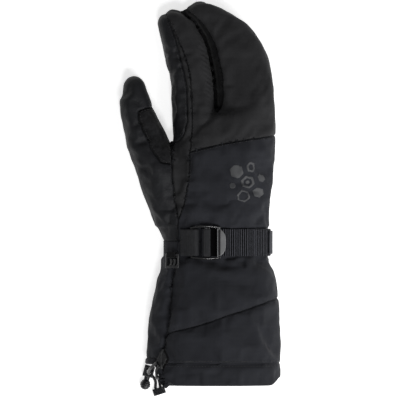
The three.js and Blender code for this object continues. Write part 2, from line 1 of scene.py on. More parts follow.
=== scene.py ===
# The looks of the lobster claw mitt: a sewn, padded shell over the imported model, with its strap and cords.
import math

import bpy
import numpy as np
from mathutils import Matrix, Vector
from mathutils.bvhtree import BVHTree
from mathutils.kdtree import KDTree


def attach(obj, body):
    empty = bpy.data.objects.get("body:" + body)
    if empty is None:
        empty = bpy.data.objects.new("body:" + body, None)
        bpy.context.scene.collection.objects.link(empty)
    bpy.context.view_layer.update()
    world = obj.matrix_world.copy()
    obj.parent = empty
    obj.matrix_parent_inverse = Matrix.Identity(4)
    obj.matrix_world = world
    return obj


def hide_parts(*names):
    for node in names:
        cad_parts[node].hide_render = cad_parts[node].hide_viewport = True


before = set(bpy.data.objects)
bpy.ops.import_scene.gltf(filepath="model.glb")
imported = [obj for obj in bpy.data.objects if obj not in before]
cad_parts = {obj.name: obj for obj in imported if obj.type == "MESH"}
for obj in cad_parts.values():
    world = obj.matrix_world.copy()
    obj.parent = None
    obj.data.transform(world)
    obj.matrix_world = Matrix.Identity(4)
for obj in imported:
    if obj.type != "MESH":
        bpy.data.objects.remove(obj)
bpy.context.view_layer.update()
MM = 0.001

# Driving sizes of the shell, in millimetres
HAND_LENGTH, HAND_WIDTH, HAND_HEIGHT = 215, 93, 46
CUFF_LENGTH, CUFF_WIDTH, CUFF_HEIGHT = 130, 121, 56
INDEX_LENGTH, INDEX_WIDTH, INDEX_HEIGHT = 88, 40.5, 38
THUMB_LENGTH, THUMB_WIDTH, THUMB_HEIGHT = 61, 41, 36
WRIST_Y, CUFF_SHIFT = -55, -9.5
FINGER_CROTCH = (-6, WRIST_Y + 0.556 * HAND_LENGTH)
THUMB_CROTCH = (-0.502 * HAND_WIDTH, WRIST_Y + 0.402 * HAND_LENGTH)
CORNER_LIFT, CORNER_FLAT, CORNER_SLOPE = 19, 6.8, 10
PEAK_SHARE, WIDEST_SHARE, ROUNDNESS, FLOOR_SINK = 0.56, 0.42, 2.3, 5
HEM_SHARE = 0.845
# The looks stay this far above the floor. Above the second height lies only the upper side, and
# above the third only the back of the mitt.
FLOOR_GAP, UPPER_SIDE, BACK_HEIGHT = 0.02, 12, 25

# Fineness of the shell, depth of its seams and thickness of its wall
VOXEL = 1.15
SEAM_DEPTH, SEAM_WIDTH, SEAM_GAP = 1.15, 0.8, 0.2
SLIT_HALF = 1.25
WALL, HEM_WALL = 2.2, 3

# The cloth run that puffs the shell: fineness, pressure, spare cloth and the most a point may move
CLOTH_VOXEL, CLOTH_PRESSURE, CLOTH_ROOM, CLOTH_CAP = 4, 3, 0.045, 5

# Strap, buckle, clip and cords
STRAP_WIDTH, STRAP_Y, WEBBING = 25.5, -56.2, 1.2
BAND_WIDTH, TAIL_WIDTH = 24.6, 21
BUCKLE_LENGTH, RAIL_WIDTH, BAR_HEIGHT = 32, 1.4, 2.2
TAB_FRONT, TAB_FOOT_BOW, TAB_TOP_BOW, TAB_POWER = 3.5, 8.6, 8.2, 3.5
LAYER_GAP = 0.4
RIB_PITCH = 2.0
CORD_DIAMETER = 2.7
LOCK_CENTRE, LOCK_TURN = (-67.9, -173.2, 7.2), math.radians(-15)
BARREL_LENGTH, BALL_DIAMETER, LOCK_TRAVEL = 10.4, 9.8, 2
END_CENTRE, END_TURN = (-58.5, -191.5, 2.5), math.radians(18)
END_BORE_OFFSET = 2.3
CORD_EXIT = (-58, -163)
OVER_TAB = 4.4

# The camera looks straight down, and a pixel is 0.9 mm at the height of the mitt's widest part.
PIXEL, PHOTO = 0.9, 400
VIEW_CENTRE = (-21.4, -18, 38)

# Each row is along, left, right and top, in shares of its part's length, width and height.
CUFF_ROWS = [
    (1, -0.507, 0.5, 1), (0.834, -0.501, 0.5, 1), (0.683, -0.491, 0.499, 0.99),
    (0.428, -0.457, 0.489, 0.95),
    (0.269, -0.418, 0.467, 0.89), (0.214, -0.396, 0.452, 0.86), (0.117, -0.3736, 0.41, 0.786),
]
HAND_ROWS = [
    (0, -0.587, 0.431, 0.957), (0.067, -0.587, 0.431, 0.957), (0.138, -0.592, 0.442, 0.97),
    (0.238, -0.568, 0.476, 0.99), (0.34, -0.528, 0.495, 1), (0.423, -0.5, 0.503, 0.99),
    (0.464, -0.423, 0.502, 0.98), (0.506, -0.268, 0.498, 0.965), (0.54, -0.143, 0.495, 0.95),
    (0.573, -0.085, 0.493, 0.93), (0.657, -0.089, 0.476, 0.89), (0.757, -0.128, 0.43, 0.83),
    (0.841, -0.196, 0.343, 0.76), (0.904, -0.283, 0.229, 0.68), (0.95, -0.372, 0.085, 0.59),
    (0.965, -0.383, 0.02, 0.54), (0.983, -0.358, -0.066, 0.47), (0.998, -0.3, -0.165, 0.34),
]
INDEX_ROWS = [
    (-0.584, -0.867, -0.244, 0.92), (-0.43, -0.956, -0.111, 1), (-0.174, -0.996, 0.022, 1.06),
    (0, -1, 0, 1.04),
    (0.246, -1.033, -0.033, 1), (0.492, -1.133, -0.111, 0.95), (0.717, -1.256, -0.256, 0.88),
    (0.861, -1.327, -0.449, 0.78), (0.912, -1.311, -0.567, 0.72), (0.948, -1.267, -0.656, 0.65),
    (0.973, -1.205, -0.715, 0.57), (0.994, -1.125, -0.765, 0.43),
]
THUMB_ROWS = [
    (-1.41, -0.193, 0.158, 0.6), (-1.344, -0.226, 0.18, 0.72), (-1.049, -0.434, 0.35, 0.93),
    (-0.694, -0.654, 0.42, 1.06), (-0.34, -0.818, 0.36, 1.1), (-0.103, -0.945, 0.2, 1.07),
    (0.015, -1, 0.004, 1.03), (0.251, -1.075, -0.18, 0.98), (0.487, -1.136, -0.368, 0.92),
    (0.606, -1.149, -0.443, 0.88), (0.66, -1.156, -0.463, 0.86), (0.71, -1.11, -0.494, 0.84),
    (0.842, -1.09, -0.575, 0.78), (0.901, -1.08, -0.6, 0.74), (0.955, -1.045, -0.645, 0.67),
    (0.99, -1, -0.695, 0.58),
]

# Seams on the hand, as shares of the hand's length and width
SLIT = [
    (1.01, -0.48), (0.958, -0.384), (0.925, -0.287), (0.891, -0.229), (0.856, -0.181), (0.808, -0.143),
    (0.757, -0.114), (0.661, -0.08), (0.548, -0.065),
]
FOURCHETTE = [
    (1.01, -0.42), (0.954, -0.31), (0.925, -0.235), (0.887, -0.172), (0.849, -0.122), (0.812, -0.088),
    (0.766, -0.057), (0.7, -0.028), (0.632, -0.014), (0.59, -0.02), (0.565, -0.036), (0.548, -0.065),
]
GUSSET_TOP = [
    (1.05, -0.66), (0.925, -0.534), (0.813, -0.415), (0.729, -0.35), (0.649, -0.321), (0.506, -0.311),
    (0.402, -0.322), (0.372, -0.33),
]
GUSSET_LOW = [(0.372, -0.33), (0.238, -0.347), (0.146, -0.394), (0.088, -0.442)]
LEATHER_EDGE = [
    (0.925, -0.534), (0.828, -0.457), (0.774, -0.43), (0.674, -0.372), (0.565, -0.355), (0.477, -0.367),
    (0.431, -0.423), (0.406, -0.502),
]
HEEL_SEAM = [(0.406, -0.502), (0.347, -0.498), (0.28, -0.496), (0.172, -0.471), (0.088, -0.442)]
BACK_SEAM = [(0.372, -0.33), (0.392, -0.162), (0.415, 0.08), (0.436, 0.399), (0.456, 0.7)]
PATCH_SEAM = [
    (0.575, -0.6), (0.561, -0.722), (0.547, -0.813), (0.531, -0.826), (0.499, -0.809), (0.43, -0.744),
    (0.391, -0.705), (0.356, -0.648), (0.332, -0.592), (0.324, -0.498),
]
THUMB_GAP = [(0.75, -0.66), (0.6, -0.62), (0.5, -0.57), (0.45, -0.527), (0.406, -0.502)]

# Seams on the cuff, as shares of the cuff's length and width
CUFF_SIDE_SEAM = [
    (0, -0.262), (0.103, -0.273), (0.29, -0.314), (0.455, -0.334), (0.6, -0.349), (0.738, -0.37),
    (0.9, -0.378),
]
DIAGONAL_SEAM = [
    (0.66, -0.42), (0.638, -0.336), (0.576, -0.099), (0.486, 0.199), (0.407, 0.444), (0.35, 0.66),
]

# The side seams' height above the floor, as along Y and height
SIDE_SEAM = [(-200, 20), (WRIST_Y, 15.5), (0, 15), (40, 12.5), (75, 9.5), (95, 8), (140, 7), (170, 5.5)]


# Placing and joining

def hand_points(shares):
    return [(across * HAND_WIDTH, WRIST_Y + along * HAND_LENGTH) for along, across in shares]


def cuff_points(shares):
    return [(CUFF_SHIFT + across * CUFF_WIDTH, WRIST_Y - along * CUFF_LENGTH) for along, across in shares]


def smoothstep(x, low, high):
    t = np.clip((np.asarray(x, float) - low) / (high - low), 0, 1)
    return t * t * (3 - 2 * t)


def hem_lift(x, y):
    """How far the hem's corner on the thumb side is drawn up at a point."""
    corner = CUFF_SHIFT - 0.507 * CUFF_WIDTH
    side = 1 - smoothstep(x, corner + CORNER_FLAT, corner + CORNER_FLAT + CORNER_SLOPE)
    along = smoothstep(-np.asarray(y, float), -WRIST_Y + 0.77 * CUFF_LENGTH, -WRIST_Y + CUFF_LENGTH)
    return CORNER_LIFT * side * along


def spline(points, count):
    """A smooth line through the points, sampled evenly along them."""
    points = np.asarray(points, float)
    ends = np.vstack([2 * points[0] - points[1], points, 2 * points[-1] - points[-2]])
    t = np.linspace(0, len(points) - 1, count)
    i = np.minimum(t.astype(int), len(points) - 2)
    f = (t - i)[:, None]
    a, b, c, d = ends[i], ends[i + 1], ends[i + 2], ends[i + 3]
    return 0.5 * (2 * b + (c - a) * f + (2 * a - 5 * b + 4 * c - d) * f**2 + (3 * b - a - 3 * c + d) * f**3)


def run_along(points):
    """The distance along a line at each of its points."""
    return np.concatenate([[0], np.cumsum(np.linalg.norm(np.diff(points, axis=0), axis=1))])


def unit(vectors):
    return vectors / np.linalg.norm(vectors, axis=1, keepdims=True)


def even_spline(points, count):
    """The same line with its samples the same distance apart."""
    fine = spline(points, 40 * len(points))
    run = run_along(fine)
    steps = np.linspace(0, run[-1], count)
    return np.stack([np.interp(steps, run, fine[:, k]) for k in range(fine.shape[1])], axis=1)


def ring_faces(rings, count, start=0, flip=False):
    """The faces between rings of points, and a cap at each end."""
    faces = []
    for ring in range(rings - 1):
        for k in range(count):
            here = start + ring * count + k
            beside = start + ring * count + (k + 1) % count
            side = (here, here + count, beside + count, beside)
            faces.append((here, beside, beside + count, here + count) if flip else side)
    first = range(start, start + count)
    last = range(start + (rings - 1) * count, start + rings * count)
    ahead, back = (last, first) if flip else (first, last)
    caps = [tuple(ahead), tuple(reversed(back))]
    return faces + (caps[::-1] if flip else caps)


def mesh_object(name, points, faces):
    """A mesh in the scene from points in millimetres."""
    mesh = bpy.data.meshes.new(name)
    mesh.from_pydata((np.asarray(points, float) * MM).tolist(), [], [list(map(int, f)) for f in faces])
    mesh.validate()
    obj = bpy.data.objects.new(name, mesh)
    bpy.context.collection.objects.link(obj)
    mesh.polygons.foreach_set("use_smooth", [True] * len(mesh.polygons))
    return obj


def final_mesh(obj):
    """The points, in millimetres, and triangles of an object with its modifiers applied."""
    done = obj.evaluated_get(bpy.context.evaluated_depsgraph_get())
    mesh = done.to_mesh()
    mesh.calc_loop_triangles()
    points = np.zeros(len(mesh.vertices) * 3)
    mesh.vertices.foreach_get("co", points)
    faces = np.zeros(len(mesh.loop_triangles) * 3, int)
    mesh.loop_triangles.foreach_get("vertices", faces)
    done.to_mesh_clear()
    return points.reshape(-1, 3) / MM, faces.reshape(-1, 3)


def remeshed(points, faces, voxel):
    """One closed skin over a set of closed, overlapping bodies."""
    obj = mesh_object("to_remesh", points, faces)
    skin = obj.modifiers.new("skin", "REMESH")
    skin.mode = "VOXEL"
    skin.voxel_size = voxel * MM
    result = final_mesh(obj)
    bpy.data.objects.remove(obj)
    return result


def edges_of(faces):
    pairs = np.sort(np.vstack([faces[:, [0, 1]], faces[:, [1, 2]], faces[:, [2, 0]]]), axis=1)
    return np.unique(pairs, axis=0)


def relaxed(points, faces, rounds, weight=0.5):
    """Moves each point toward its neighbours' middle."""
    points = points.copy()
    edges = edges_of(faces)
    degree = np.bincount(edges.ravel(), minlength=len(points))[:, None]
    for _ in range(rounds):
        total = np.zeros_like(points)
        for k in range(3):
            total[:, k] = np.bincount(edges[:, 0], points[edges[:, 1], k], len(points))
            total[:, k] += np.bincount(edges[:, 1], points[edges[:, 0], k], len(points))
        points += weight * (total / np.maximum(degree, 1) - points)
    return points


def normals_of(points, faces):
    a, b, c = (points[faces[:, k]] for k in range(3))
    face = np.cross(b - a, c - a)
    total = np.zeros_like(points)
    for corner in range(3):
        for k in range(3):
            total[:, k] += np.bincount(faces[:, corner], face[:, k], len(points))
    return total / np.maximum(np.linalg.norm(total, axis=1, keepdims=True), 1e-9)


def lumps(points, size, seed):
    """Smooth seeded noise between about -1 and 1, with bumps of a size in millimetres."""
    rng = np.random.default_rng(seed)
    total = np.zeros(len(points))
    for _ in range(7):
        way = rng.normal(size=3)
        way /= np.linalg.norm(way)
        pitch = 2 * math.pi / (size * rng.uniform(0.7, 1.5))
        total += np.sin(points @ way * pitch + rng.uniform(0, 6.28))
    return total / 3.5


# The mitt's section and its skin

def section_points(angle, left, right, base, top):
    """X and Z at angles round a section: four quarter ovals round its peak, cut flat at its base."""
    power = 2 / ROUNDNESS
    across = np.sign(np.cos(angle)) * np.abs(np.cos(angle)) ** power
    up = np.sign(np.sin(angle)) * np.abs(np.sin(angle)) ** power
    peak = left + PEAK_SHARE * (right - left)
    widest = base + WIDEST_SHARE * (top - base)
    x = peak + across * np.where(across < 0, peak - left, right - peak)
    z = np.where(up > 0, widest + up * (top - widest), widest + up * (widest - base + FLOOR_SINK))
    return np.stack([x, np.maximum(base, z)], axis=1)


def part_rows(rows, origin, length, width, height):
    table = np.array(rows, float)
    y = origin[1] + table[:, 0] * length
    left, right = (origin[0] + table[:, k] * width for k in (1, 2))
    return np.stack([y, left, right, table[:, 3] * height], 1)


def body_rows():
    cuff = part_rows(CUFF_ROWS, (CUFF_SHIFT, WRIST_Y), -CUFF_LENGTH, CUFF_WIDTH, CUFF_HEIGHT)
    beyond = cuff[:1] - [[6, 0, 0, 0]]
    hand = part_rows(HAND_ROWS, (0, WRIST_Y), HAND_LENGTH, HAND_WIDTH, HAND_HEIGHT)
    return np.vstack([beyond, cuff, hand])


def section_at(y):
    """Left side, right side and top of the cuff and hand at a Y."""
    rows = body_rows()
    return (np.interp(y, rows[:, 0], rows[:, k]) for k in (1, 2, 3))


def loft(rows, slit_side=0, count=88, per_row=6):
    """A closed body through smoothed rows, with a rounded tip, that keeps to its side of the slit."""
    rows = spline(rows, (len(rows) - 1) * per_row + 1)
    fingers = rows[:, 0] > FINGER_CROTCH[1]
    slit = slit_at(rows[:, 0])
    if slit_side > 0:
        rows[fingers, 1] = np.maximum(rows[fingers, 1], slit[fingers] + SLIT_HALF)
    if slit_side < 0:
        rows[fingers, 2] = np.minimum(rows[fingers, 2], slit[fingers] - SLIT_HALF)
    low_top = rows[-1, 3]
    angle = np.linspace(0, 2 * math.pi, count, endpoint=False)
    rings = []
    for y, left, right, top in rows:
        base = max(0.0, 0.45 * (low_top + 9 - top)) if y > rows[-1, 0] - 12 else 0.0
        ring = section_points(angle, left, right, base, top)
        if slit_side and y > FINGER_CROTCH[1]:
            touching = smoothstep(ring[:, 1], 4, 7) * (1 - smoothstep(ring[:, 1], 11, 15))
            near = 1 - smoothstep(np.abs(ring[:, 0] - slit_at(y)), SLIT_HALF + 1, SLIT_HALF + 5)
            ring[:, 0] -= slit_side * (SLIT_HALF + 0.6) * touching * near
        lifted = y + hem_lift(ring[:, 0], max(y, WRIST_Y - CUFF_LENGTH))
        rings.append(np.stack([ring[:, 0], lifted, ring[:, 1]], axis=1))
    last = rings[-1]
    middle = last.mean(axis=0)
    for shrink, step in ((0.82, 1.2), (0.5, 2.1), (0.2, 2.5)):
        rings.append(middle + (last - middle) * shrink + [0, step, 0])
    return np.vstack(rings), ring_faces(len(rings), count)


def joined(parts):
    points, faces, start = [], [], 0
    for part_points, part_faces in parts:
        points.append(part_points)
        faces += [tuple(start + i for i in face) for face in part_faces]
        start += len(part_points)
    return np.vstack(points), faces


def slit_at(y):
    """Where the slit between the index finger and the lobe runs, across the hand."""
    slit = np.array(hand_points(SLIT))[::-1]
    return np.interp(y, slit[:, 1], slit[:, 0])


def mitt_skin(voxel=VOXEL, rounds=4):
    index = part_rows(INDEX_ROWS, FINGER_CROTCH, INDEX_LENGTH, INDEX_WIDTH, INDEX_HEIGHT)
    thumb = part_rows(THUMB_ROWS, THUMB_CROTCH, THUMB_LENGTH, THUMB_WIDTH, THUMB_HEIGHT)
    parts = [loft(body_rows(), slit_side=1), loft(index, slit_side=-1), loft(thumb)]
    points, faces = remeshed(*joined(parts), voxel)
    return relaxed(points, faces, rounds), faces


# Seams and regions

def outline_distance(xy, outline):
    """Signed distance in the XY plane to a closed outline, negative inside."""
    corners = np.asarray(outline, float)
    best = np.full(len(xy), 1e9)
    inside = np.zeros(len(xy), bool)
    for a, b in zip(corners, np.roll(corners, -1, axis=0)):
        way = b - a
        t = np.clip(((xy - a) @ way) / max(way @ way, 1e-9), 0, 1)
        best = np.minimum(best, np.linalg.norm(xy - a - t[:, None] * way, axis=1))
        if a[1] != b[1]:
            crosses = (a[1] > xy[:, 1]) != (b[1] > xy[:, 1])
            at = a[0] + (xy[:, 1] - a[1]) * way[0] / way[1]
            inside ^= crosses & (xy[:, 0] < at)
    return np.where(inside, -best, best)


def side_level(points):
    """Below zero above the side seam."""
    seam = np.array(SIDE_SEAM, float)
    return np.interp(points[:, 1], seam[:, 0], seam[:, 1]) - points[:, 2]


def hem_level(points):
    """Below zero on the hem band's side of the hem seam."""
    hem_y = WRIST_Y - HEM_SHARE * CUFF_LENGTH
    return points[:, 1] - hem_y - hem_lift(points[:, 0], hem_y)


def mouth_level(points):
    """Below zero beyond the hem's edge."""
    edge = WRIST_Y - CUFF_LENGTH
    far_corner = CUFF_SHIFT + 0.5 * CUFF_WIDTH
    rounded = 7 * smoothstep(points[:, 0], far_corner - 13, far_corner + 1) ** 2
    return points[:, 1] - edge - hem_lift(points[:, 0], edge) - rounded


def smooth_line(points):
    return even_spline(points, 6 * len(points)).tolist()


def region_outlines():
    hand, cuff = hand_points, cuff_points
    slit = [(x - 1, y) for x, y in smooth_line(hand(SLIT))]
    fourchette = smooth_line(hand(FOURCHETTE))
    gusset_top, gusset_low = smooth_line(hand(GUSSET_TOP)), smooth_line(hand(GUSSET_LOW))
    leather, heel = smooth_line(hand(LEATHER_EDGE)), smooth_line(hand(HEEL_SEAM))
    back_seam, patch = smooth_line(hand(BACK_SEAM)), smooth_line(hand(PATCH_SEAM))
    side, diagonal = smooth_line(cuff(CUFF_SIDE_SEAM)), smooth_line(cuff(DIAGONAL_SEAM))
    gap = hand(THUMB_GAP)
    start = next(i for i, p in enumerate(gusset_top) if p[1] < leather[0][1])
    return {
        "finger_fourchette": slit + fourchette[::-1],
        "index_gusset": [leather[0]] + gusset_top[start:] + gusset_low + heel[::-1] + leather[::-1],
        "thumb_wipe_patch": patch + hand([(0.406, -0.502), (0.45, -0.527), (0.5, -0.57)]),
        "thumb": gap + heel + hand([(0, -0.442), (0, -1.4), (0.75, -1.4)]),
        "finger_back_panel": gusset_top + back_seam + hand([(1.1, 0.7), (1.1, -0.66)]),
        "hand_back_panel": gusset_low + hand([(0, -0.442), (0, 0.7)]) + back_seam[::-1],
        "cuff_back": side + cuff([(1.2, -0.378), (1.2, 0.8), (0, 0.8)]),
        "above_diagonal": diagonal + cuff([(0, 0.8), (0, -0.42)]),
    }


OUTLINES = region_outlines()


def region_level(points, name, top_only=True):
    """Below zero inside a region, and above the side seam where it is a panel of the back."""
    level = outline_distance(points[:, :2], OUTLINES[name])
    return np.maximum(level, side_level(points)) if top_only else level


def seam_distance(points):
    """Distance to the nearest seam of the shell."""
    names = ("finger_fourchette", "index_gusset", "thumb_wipe_patch", "finger_back_panel", "hand_back_panel")
    levels = [region_level(points, name) for name in names]
    levels.append(region_level(points, "thumb"))
    levels.append(outline_distance(points[:, :2], OUTLINES["thumb"]))
    cuff_back = region_level(points, "cuff_back")
    levels.append(cuff_back)
    levels.append(np.maximum(region_level(points, "above_diagonal"), cuff_back))
    levels.append(hem_level(points))
    levels.append(points[:, 1] - WRIST_Y)
    return np.min(np.abs(np.array(levels)), axis=0)


def cut(points, faces, level):
    """Cuts triangles where the level crosses zero, and gives the faces inside (below zero) and outside."""
    level = np.where(np.abs(level) < 1e-6, 1e-6, level)
    below = level[faces] < 0
    count = below.sum(axis=1)
    inside, outside = faces[count == 3], faces[count == 0]
    mixed = faces[(count == 1) | (count == 2)]
    below = level[mixed] < 0
    lone_inside = below.sum(axis=1) == 1
    lone = np.argmax(below == lone_inside[:, None], axis=1)
    rows = np.arange(len(mixed))
    a, b, c = (mixed[rows, (lone + k) % 3] for k in range(3))
    pairs = np.sort(np.concatenate([np.stack([a, b], 1), np.stack([a, c], 1)]), axis=1)
    unique, place = np.unique(pairs, axis=0, return_inverse=True)
    t = level[unique[:, 0]] / (level[unique[:, 0]] - level[unique[:, 1]])
    new = points[unique[:, 0]] + t[:, None] * (points[unique[:, 1]] - points[unique[:, 0]])
    ab, ac = (len(points) + place.reshape(2, -1))
    tip = np.stack([a, ab, ac], 1)
    rest = np.concatenate([np.stack([ab, b, c], 1), np.stack([ab, c, ac], 1)])
    twice = np.tile(lone_inside, 2)
    inside = np.concatenate([inside, tip[lone_inside], rest[~twice]])
    outside = np.concatenate([outside, tip[~lone_inside], rest[twice]])
    return np.vstack([points, new]), inside, outside


# How the shell is shaped: slack cloth over the padding, puffed panels, drawn-in seams and folds

def settled_cloth():
    """Points of a coarse, slightly roomy skin, held at its seams and blown up, and their moves."""
    start, faces = mitt_skin(CLOTH_VOXEL, 2)
    obj = mesh_object("cloth_run", start, faces)
    held = np.exp(-((seam_distance(start) / 3) ** 2))
    held = np.maximum(held, np.exp(-((np.abs(start[:, 1] - STRAP_Y) / 13.5) ** 8)))
    held = np.maximum(held, 1 - smoothstep(start[:, 2], 1, 5))
    held = np.maximum(held, 1 - smoothstep(mouth_level(start), 2, 8))
    held = np.maximum(held, 1 - smoothstep(np.linalg.norm(start[:, :2] - CORD_EXIT, axis=1), 8, 16))
    pins = obj.vertex_groups.new(name="held")
    for index, weight in enumerate(held):
        pins.add([index], float(weight), "REPLACE")
    cloth = obj.modifiers.new("cloth", "CLOTH")
    settings = cloth.settings
    settings.vertex_group_mass = "held"
    settings.quality = 6
    settings.mass = 0.2
    settings.tension_stiffness = settings.compression_stiffness = 20
    settings.shear_stiffness = 8
    settings.bending_stiffness = 0.6
    settings.use_pressure = True
    settings.uniform_pressure_force = CLOTH_PRESSURE
    settings.shrink_min = -CLOTH_ROOM
    settings.effector_weights.gravity = 0
    cloth.collision_settings.use_collision = False
    scene = bpy.context.scene
    for number in range(1, 21):
        scene.frame_set(number)
    end, _ = final_mesh(obj)
    scene.frame_set(1)
    bpy.data.objects.remove(obj)
    moves = end - start
    size = np.maximum(np.linalg.norm(moves, axis=1, keepdims=True), 1e-9)
    upward = smoothstep(normals_of(start, faces)[:, 2:], 0.1, 0.8)
    return start, moves * np.minimum(1, CLOTH_CAP / size) * (0.25 + 0.75 * upward)


def carried_over(coarse, moves, points):
    """The coarse skin's moves at the points of a finer one, from the nearest few."""
    tree = KDTree(len(coarse))
    for index, point in enumerate(coarse):
        tree.insert(point, index)
    tree.balance()
    result = np.zeros((len(points), 3))
    for index, point in enumerate(points):
        near = tree.find_n(point, 8)
        weight = np.exp(-((np.array([hit[2] for hit in near]) / (0.7 * CLOTH_VOXEL)) ** 2)) + 1e-6
        result[index] = weight @ moves[[hit[1] for hit in near]] / weight.sum()
    return result


def fold(points, start, end, width, height, fade=0.35):
    """A raised or sunk crease along a line in the XY plane, which fades at both ends."""
    a, b = np.array(start, float), np.array(end, float)
    way = b - a
    t = ((points[:, :2] - a) @ way) / (way @ way)
    away = np.linalg.norm(points[:, :2] - a - np.clip(t, 0, 1)[:, None] * way, axis=1)
    ends = smoothstep(t, -0.05, fade) * (1 - smoothstep(t, 1 - fade, 1.05))
    return height * ends * np.exp(-((away / width) ** 2))


FOLDS = [
    ((-20, -71), (10, -76), 3.4, -1.9), ((-8, -79), (26, -74), 3.4, -1.3), ((24, -70),
    (44, -80), 3.4, -1.6),
    ((-2, -70), (12, -71), 2.4, -2), ((16, -70), (19, -80), 2, -1.6),
    ((8, -41), (14, -28), 2.6, -1.3), ((-22, -41), (-10, -36), 3, -1.1), ((26, -42), (36, -30), 3, -1.2),
    ((-42, -86), (-50, -130), 3.4, -1.5), ((-48, -90), (-60, -128), 3, 1.2), ((-38, -96),
    (-44, -150), 3, 1),
    ((-20, -150), (30, -128), 7, 0.8), ((-30, -100), (20, -112), 9, 0.7),
    ((14, 33), (46, 17), 6, 1.6), ((6, 26), (40, 2), 5, -1), ((-24, 20), (2, 12), 7, 0.6),
    ((-58, 110), (-38, 118), 2.4, -1.2), ((-57, 122), (-46, 116), 2.2, -0.9), ((-50, 96),
    (-36, 104), 2.4, -0.8),
    ((-84, 30), (-60, 40), 3, -1), ((-86, 46), (-70, 54), 2.6, -0.8), ((-76, 8), (-56, 20), 3.4, -0.9),
    ((-12, 56), (12, 66), 4, -0.8), ((4, 100), (26, 96), 6, -0.6), ((2, 74), (40, 70), 8, 0.7),
]


def shaped(points, faces):
    """Pushes the plain skin along its normals into a sewn and padded one."""
    normals = normals_of(points[:, :3], faces)
    seam = points[:, 3]
    points = points[:, :3]
    upper = points[:, 2] > UPPER_SIDE
    loose = smoothstep(seam, 0, 9)
    push = 0.9 * (1 - np.exp(-seam / 6)) - 0.4
    push += 0.5 * loose * lumps(points, 34, 4) + 0.25 * loose * lumps(points, 15, 9)
    push += 0.16 * np.exp(-seam / 3.5) * lumps(points, 6, 21)
    from_strap = np.abs(points[:, 1] - STRAP_Y) - STRAP_WIDTH / 2
    gather = np.exp(-((from_strap / 15) ** 2)) * smoothstep(from_strap, 0, 3)
    push += gather * (0.9 + 0.8 * lumps(points * [1, 0.25, 1], 13, 33))
    for start, end, width, height in FOLDS:
        push += fold(points, start, end, width, height) * upper
    depth = SEAM_DEPTH * (1 - 0.8 * smoothstep(points[:, 1], 136, 145))
    depth *= 1 - 0.5 * np.exp(-((hem_level(points) / 2) ** 2))
    push -= depth * np.exp(-((seam / SEAM_WIDTH) ** 2))
    side_seam = outline_distance(points[:, :2], OUTLINES["cuff_back"])
    along_side = smoothstep(-points[:, 1], 70, 80) * (1 - smoothstep(-points[:, 1], 146, 156))
    on_side = along_side * upper * (points[:, 0] < -30)
    push -= on_side * (2.3 + 0.5 * np.sin(points[:, 1] / 1.5)) * np.exp(-((side_seam / 2.2) ** 2))
    beside = slit_at(points[:, 1]) - points[:, 0]
    along_slit = smoothstep(points[:, 1], 66, 78) * (1 - smoothstep(points[:, 1], 118, 128)) * upper
    pucker = np.sin((points[:, 1] + 0.7 * points[:, 0]) * 2 * math.pi / 4.2)
    push += 0.6 * along_slit * pucker * np.exp(-(((beside - 6.5) / 3.5) ** 2))
    patch = outline_distance(points[:, :2], OUTLINES["thumb_wipe_patch"])
    push -= 0.9 * np.exp(-((patch / 1.5) ** 2)) * upper * (points[:, 1] < 66)
    mouth = np.maximum(mouth_level(points), 0)
    push -= 0.9 * np.maximum(1 - mouth / 1.6, 0) ** 2
    push = np.where(from_strap < 0, np.minimum(push, 0) * 0.4, push)
    floor = smoothstep(points[:, 2], 0, 6)
    push *= 0.25 + 0.75 * floor
    moved = points + normals * push[:, None]
    moved[:, 2] = np.maximum(moved[:, 2], FLOOR_GAP)
    return moved


def panel_faces(points, faces):
    """Cuts the skin into its panels, with points on every seam and each point's distance to a seam."""
    points = np.column_stack([points, seam_distance(points)])
    panels = {}
    points, _, rest = cut(points, faces, mouth_level(points))

    def take(name, level):
        nonlocal points, rest
        before = len(points)
        points, panels[name], rest = cut(points, rest, level(points[:, :3]))
        points[before:, 3] = 0

    take("hem_band", hem_level)
    for name in ("finger_fourchette", "index_gusset", "thumb_wipe_patch"):
        take(name, lambda p, n=name: region_level(p, n))
    take("thumb_back", lambda p: region_level(p, "thumb"))
    take("thumb_palm", lambda p: region_level(p, "thumb", top_only=False))
    take("finger_back_panel", lambda p: region_level(p, "finger_back_panel"))
    take("hand_back_panel", lambda p: region_level(p, "hand_back_panel"))
    upper_back = ("cuff_back", "above_diagonal")
    take("cuff_upper_back", lambda p: np.maximum(*(region_level(p, name) for name in upper_back)))
    take("cuff_lower_back", lambda p: region_level(p, "cuff_back"))
    take("cuff_palm_panel", lambda p: p[:, 1] - WRIST_Y)
    panels["palm_leather"] = rest
    for name in panels:
        for away in (2.1, 1.2, 0.5):
            points, near, far = cut(points, panels[name], points[:, 3] - away)
            panels[name] = np.vstack([near, far])
    return points, panels


def border_of(faces):
    """The directed edges that only one face has."""
    half = np.vstack([faces[:, [0, 1]], faces[:, [1, 2]], faces[:, [2, 0]]])
    key = half[:, 0] * (faces.max() + 1) + half[:, 1]
    back = half[:, 1] * (faces.max() + 1) + half[:, 0]
    return half[~np.isin(key, back)]


def compacted(faces):
    """The points that faces use, and the faces counted in these points only."""
    used, compact = np.unique(faces, return_inverse=True)
    return used, compact.reshape(-1, 3)


def closed_sheet(over, under, faces):
    """A closed body between two sheets with the same faces, with a rim round their open edges."""
    a, b = border_of(faces).T
    size = len(over)
    rim = np.vstack([np.stack([b, a, a + size], 1), np.stack([b, a + size, b + size], 1)])
    return np.vstack([over, under]), np.vstack([faces, faces[:, ::-1] + size, rim])


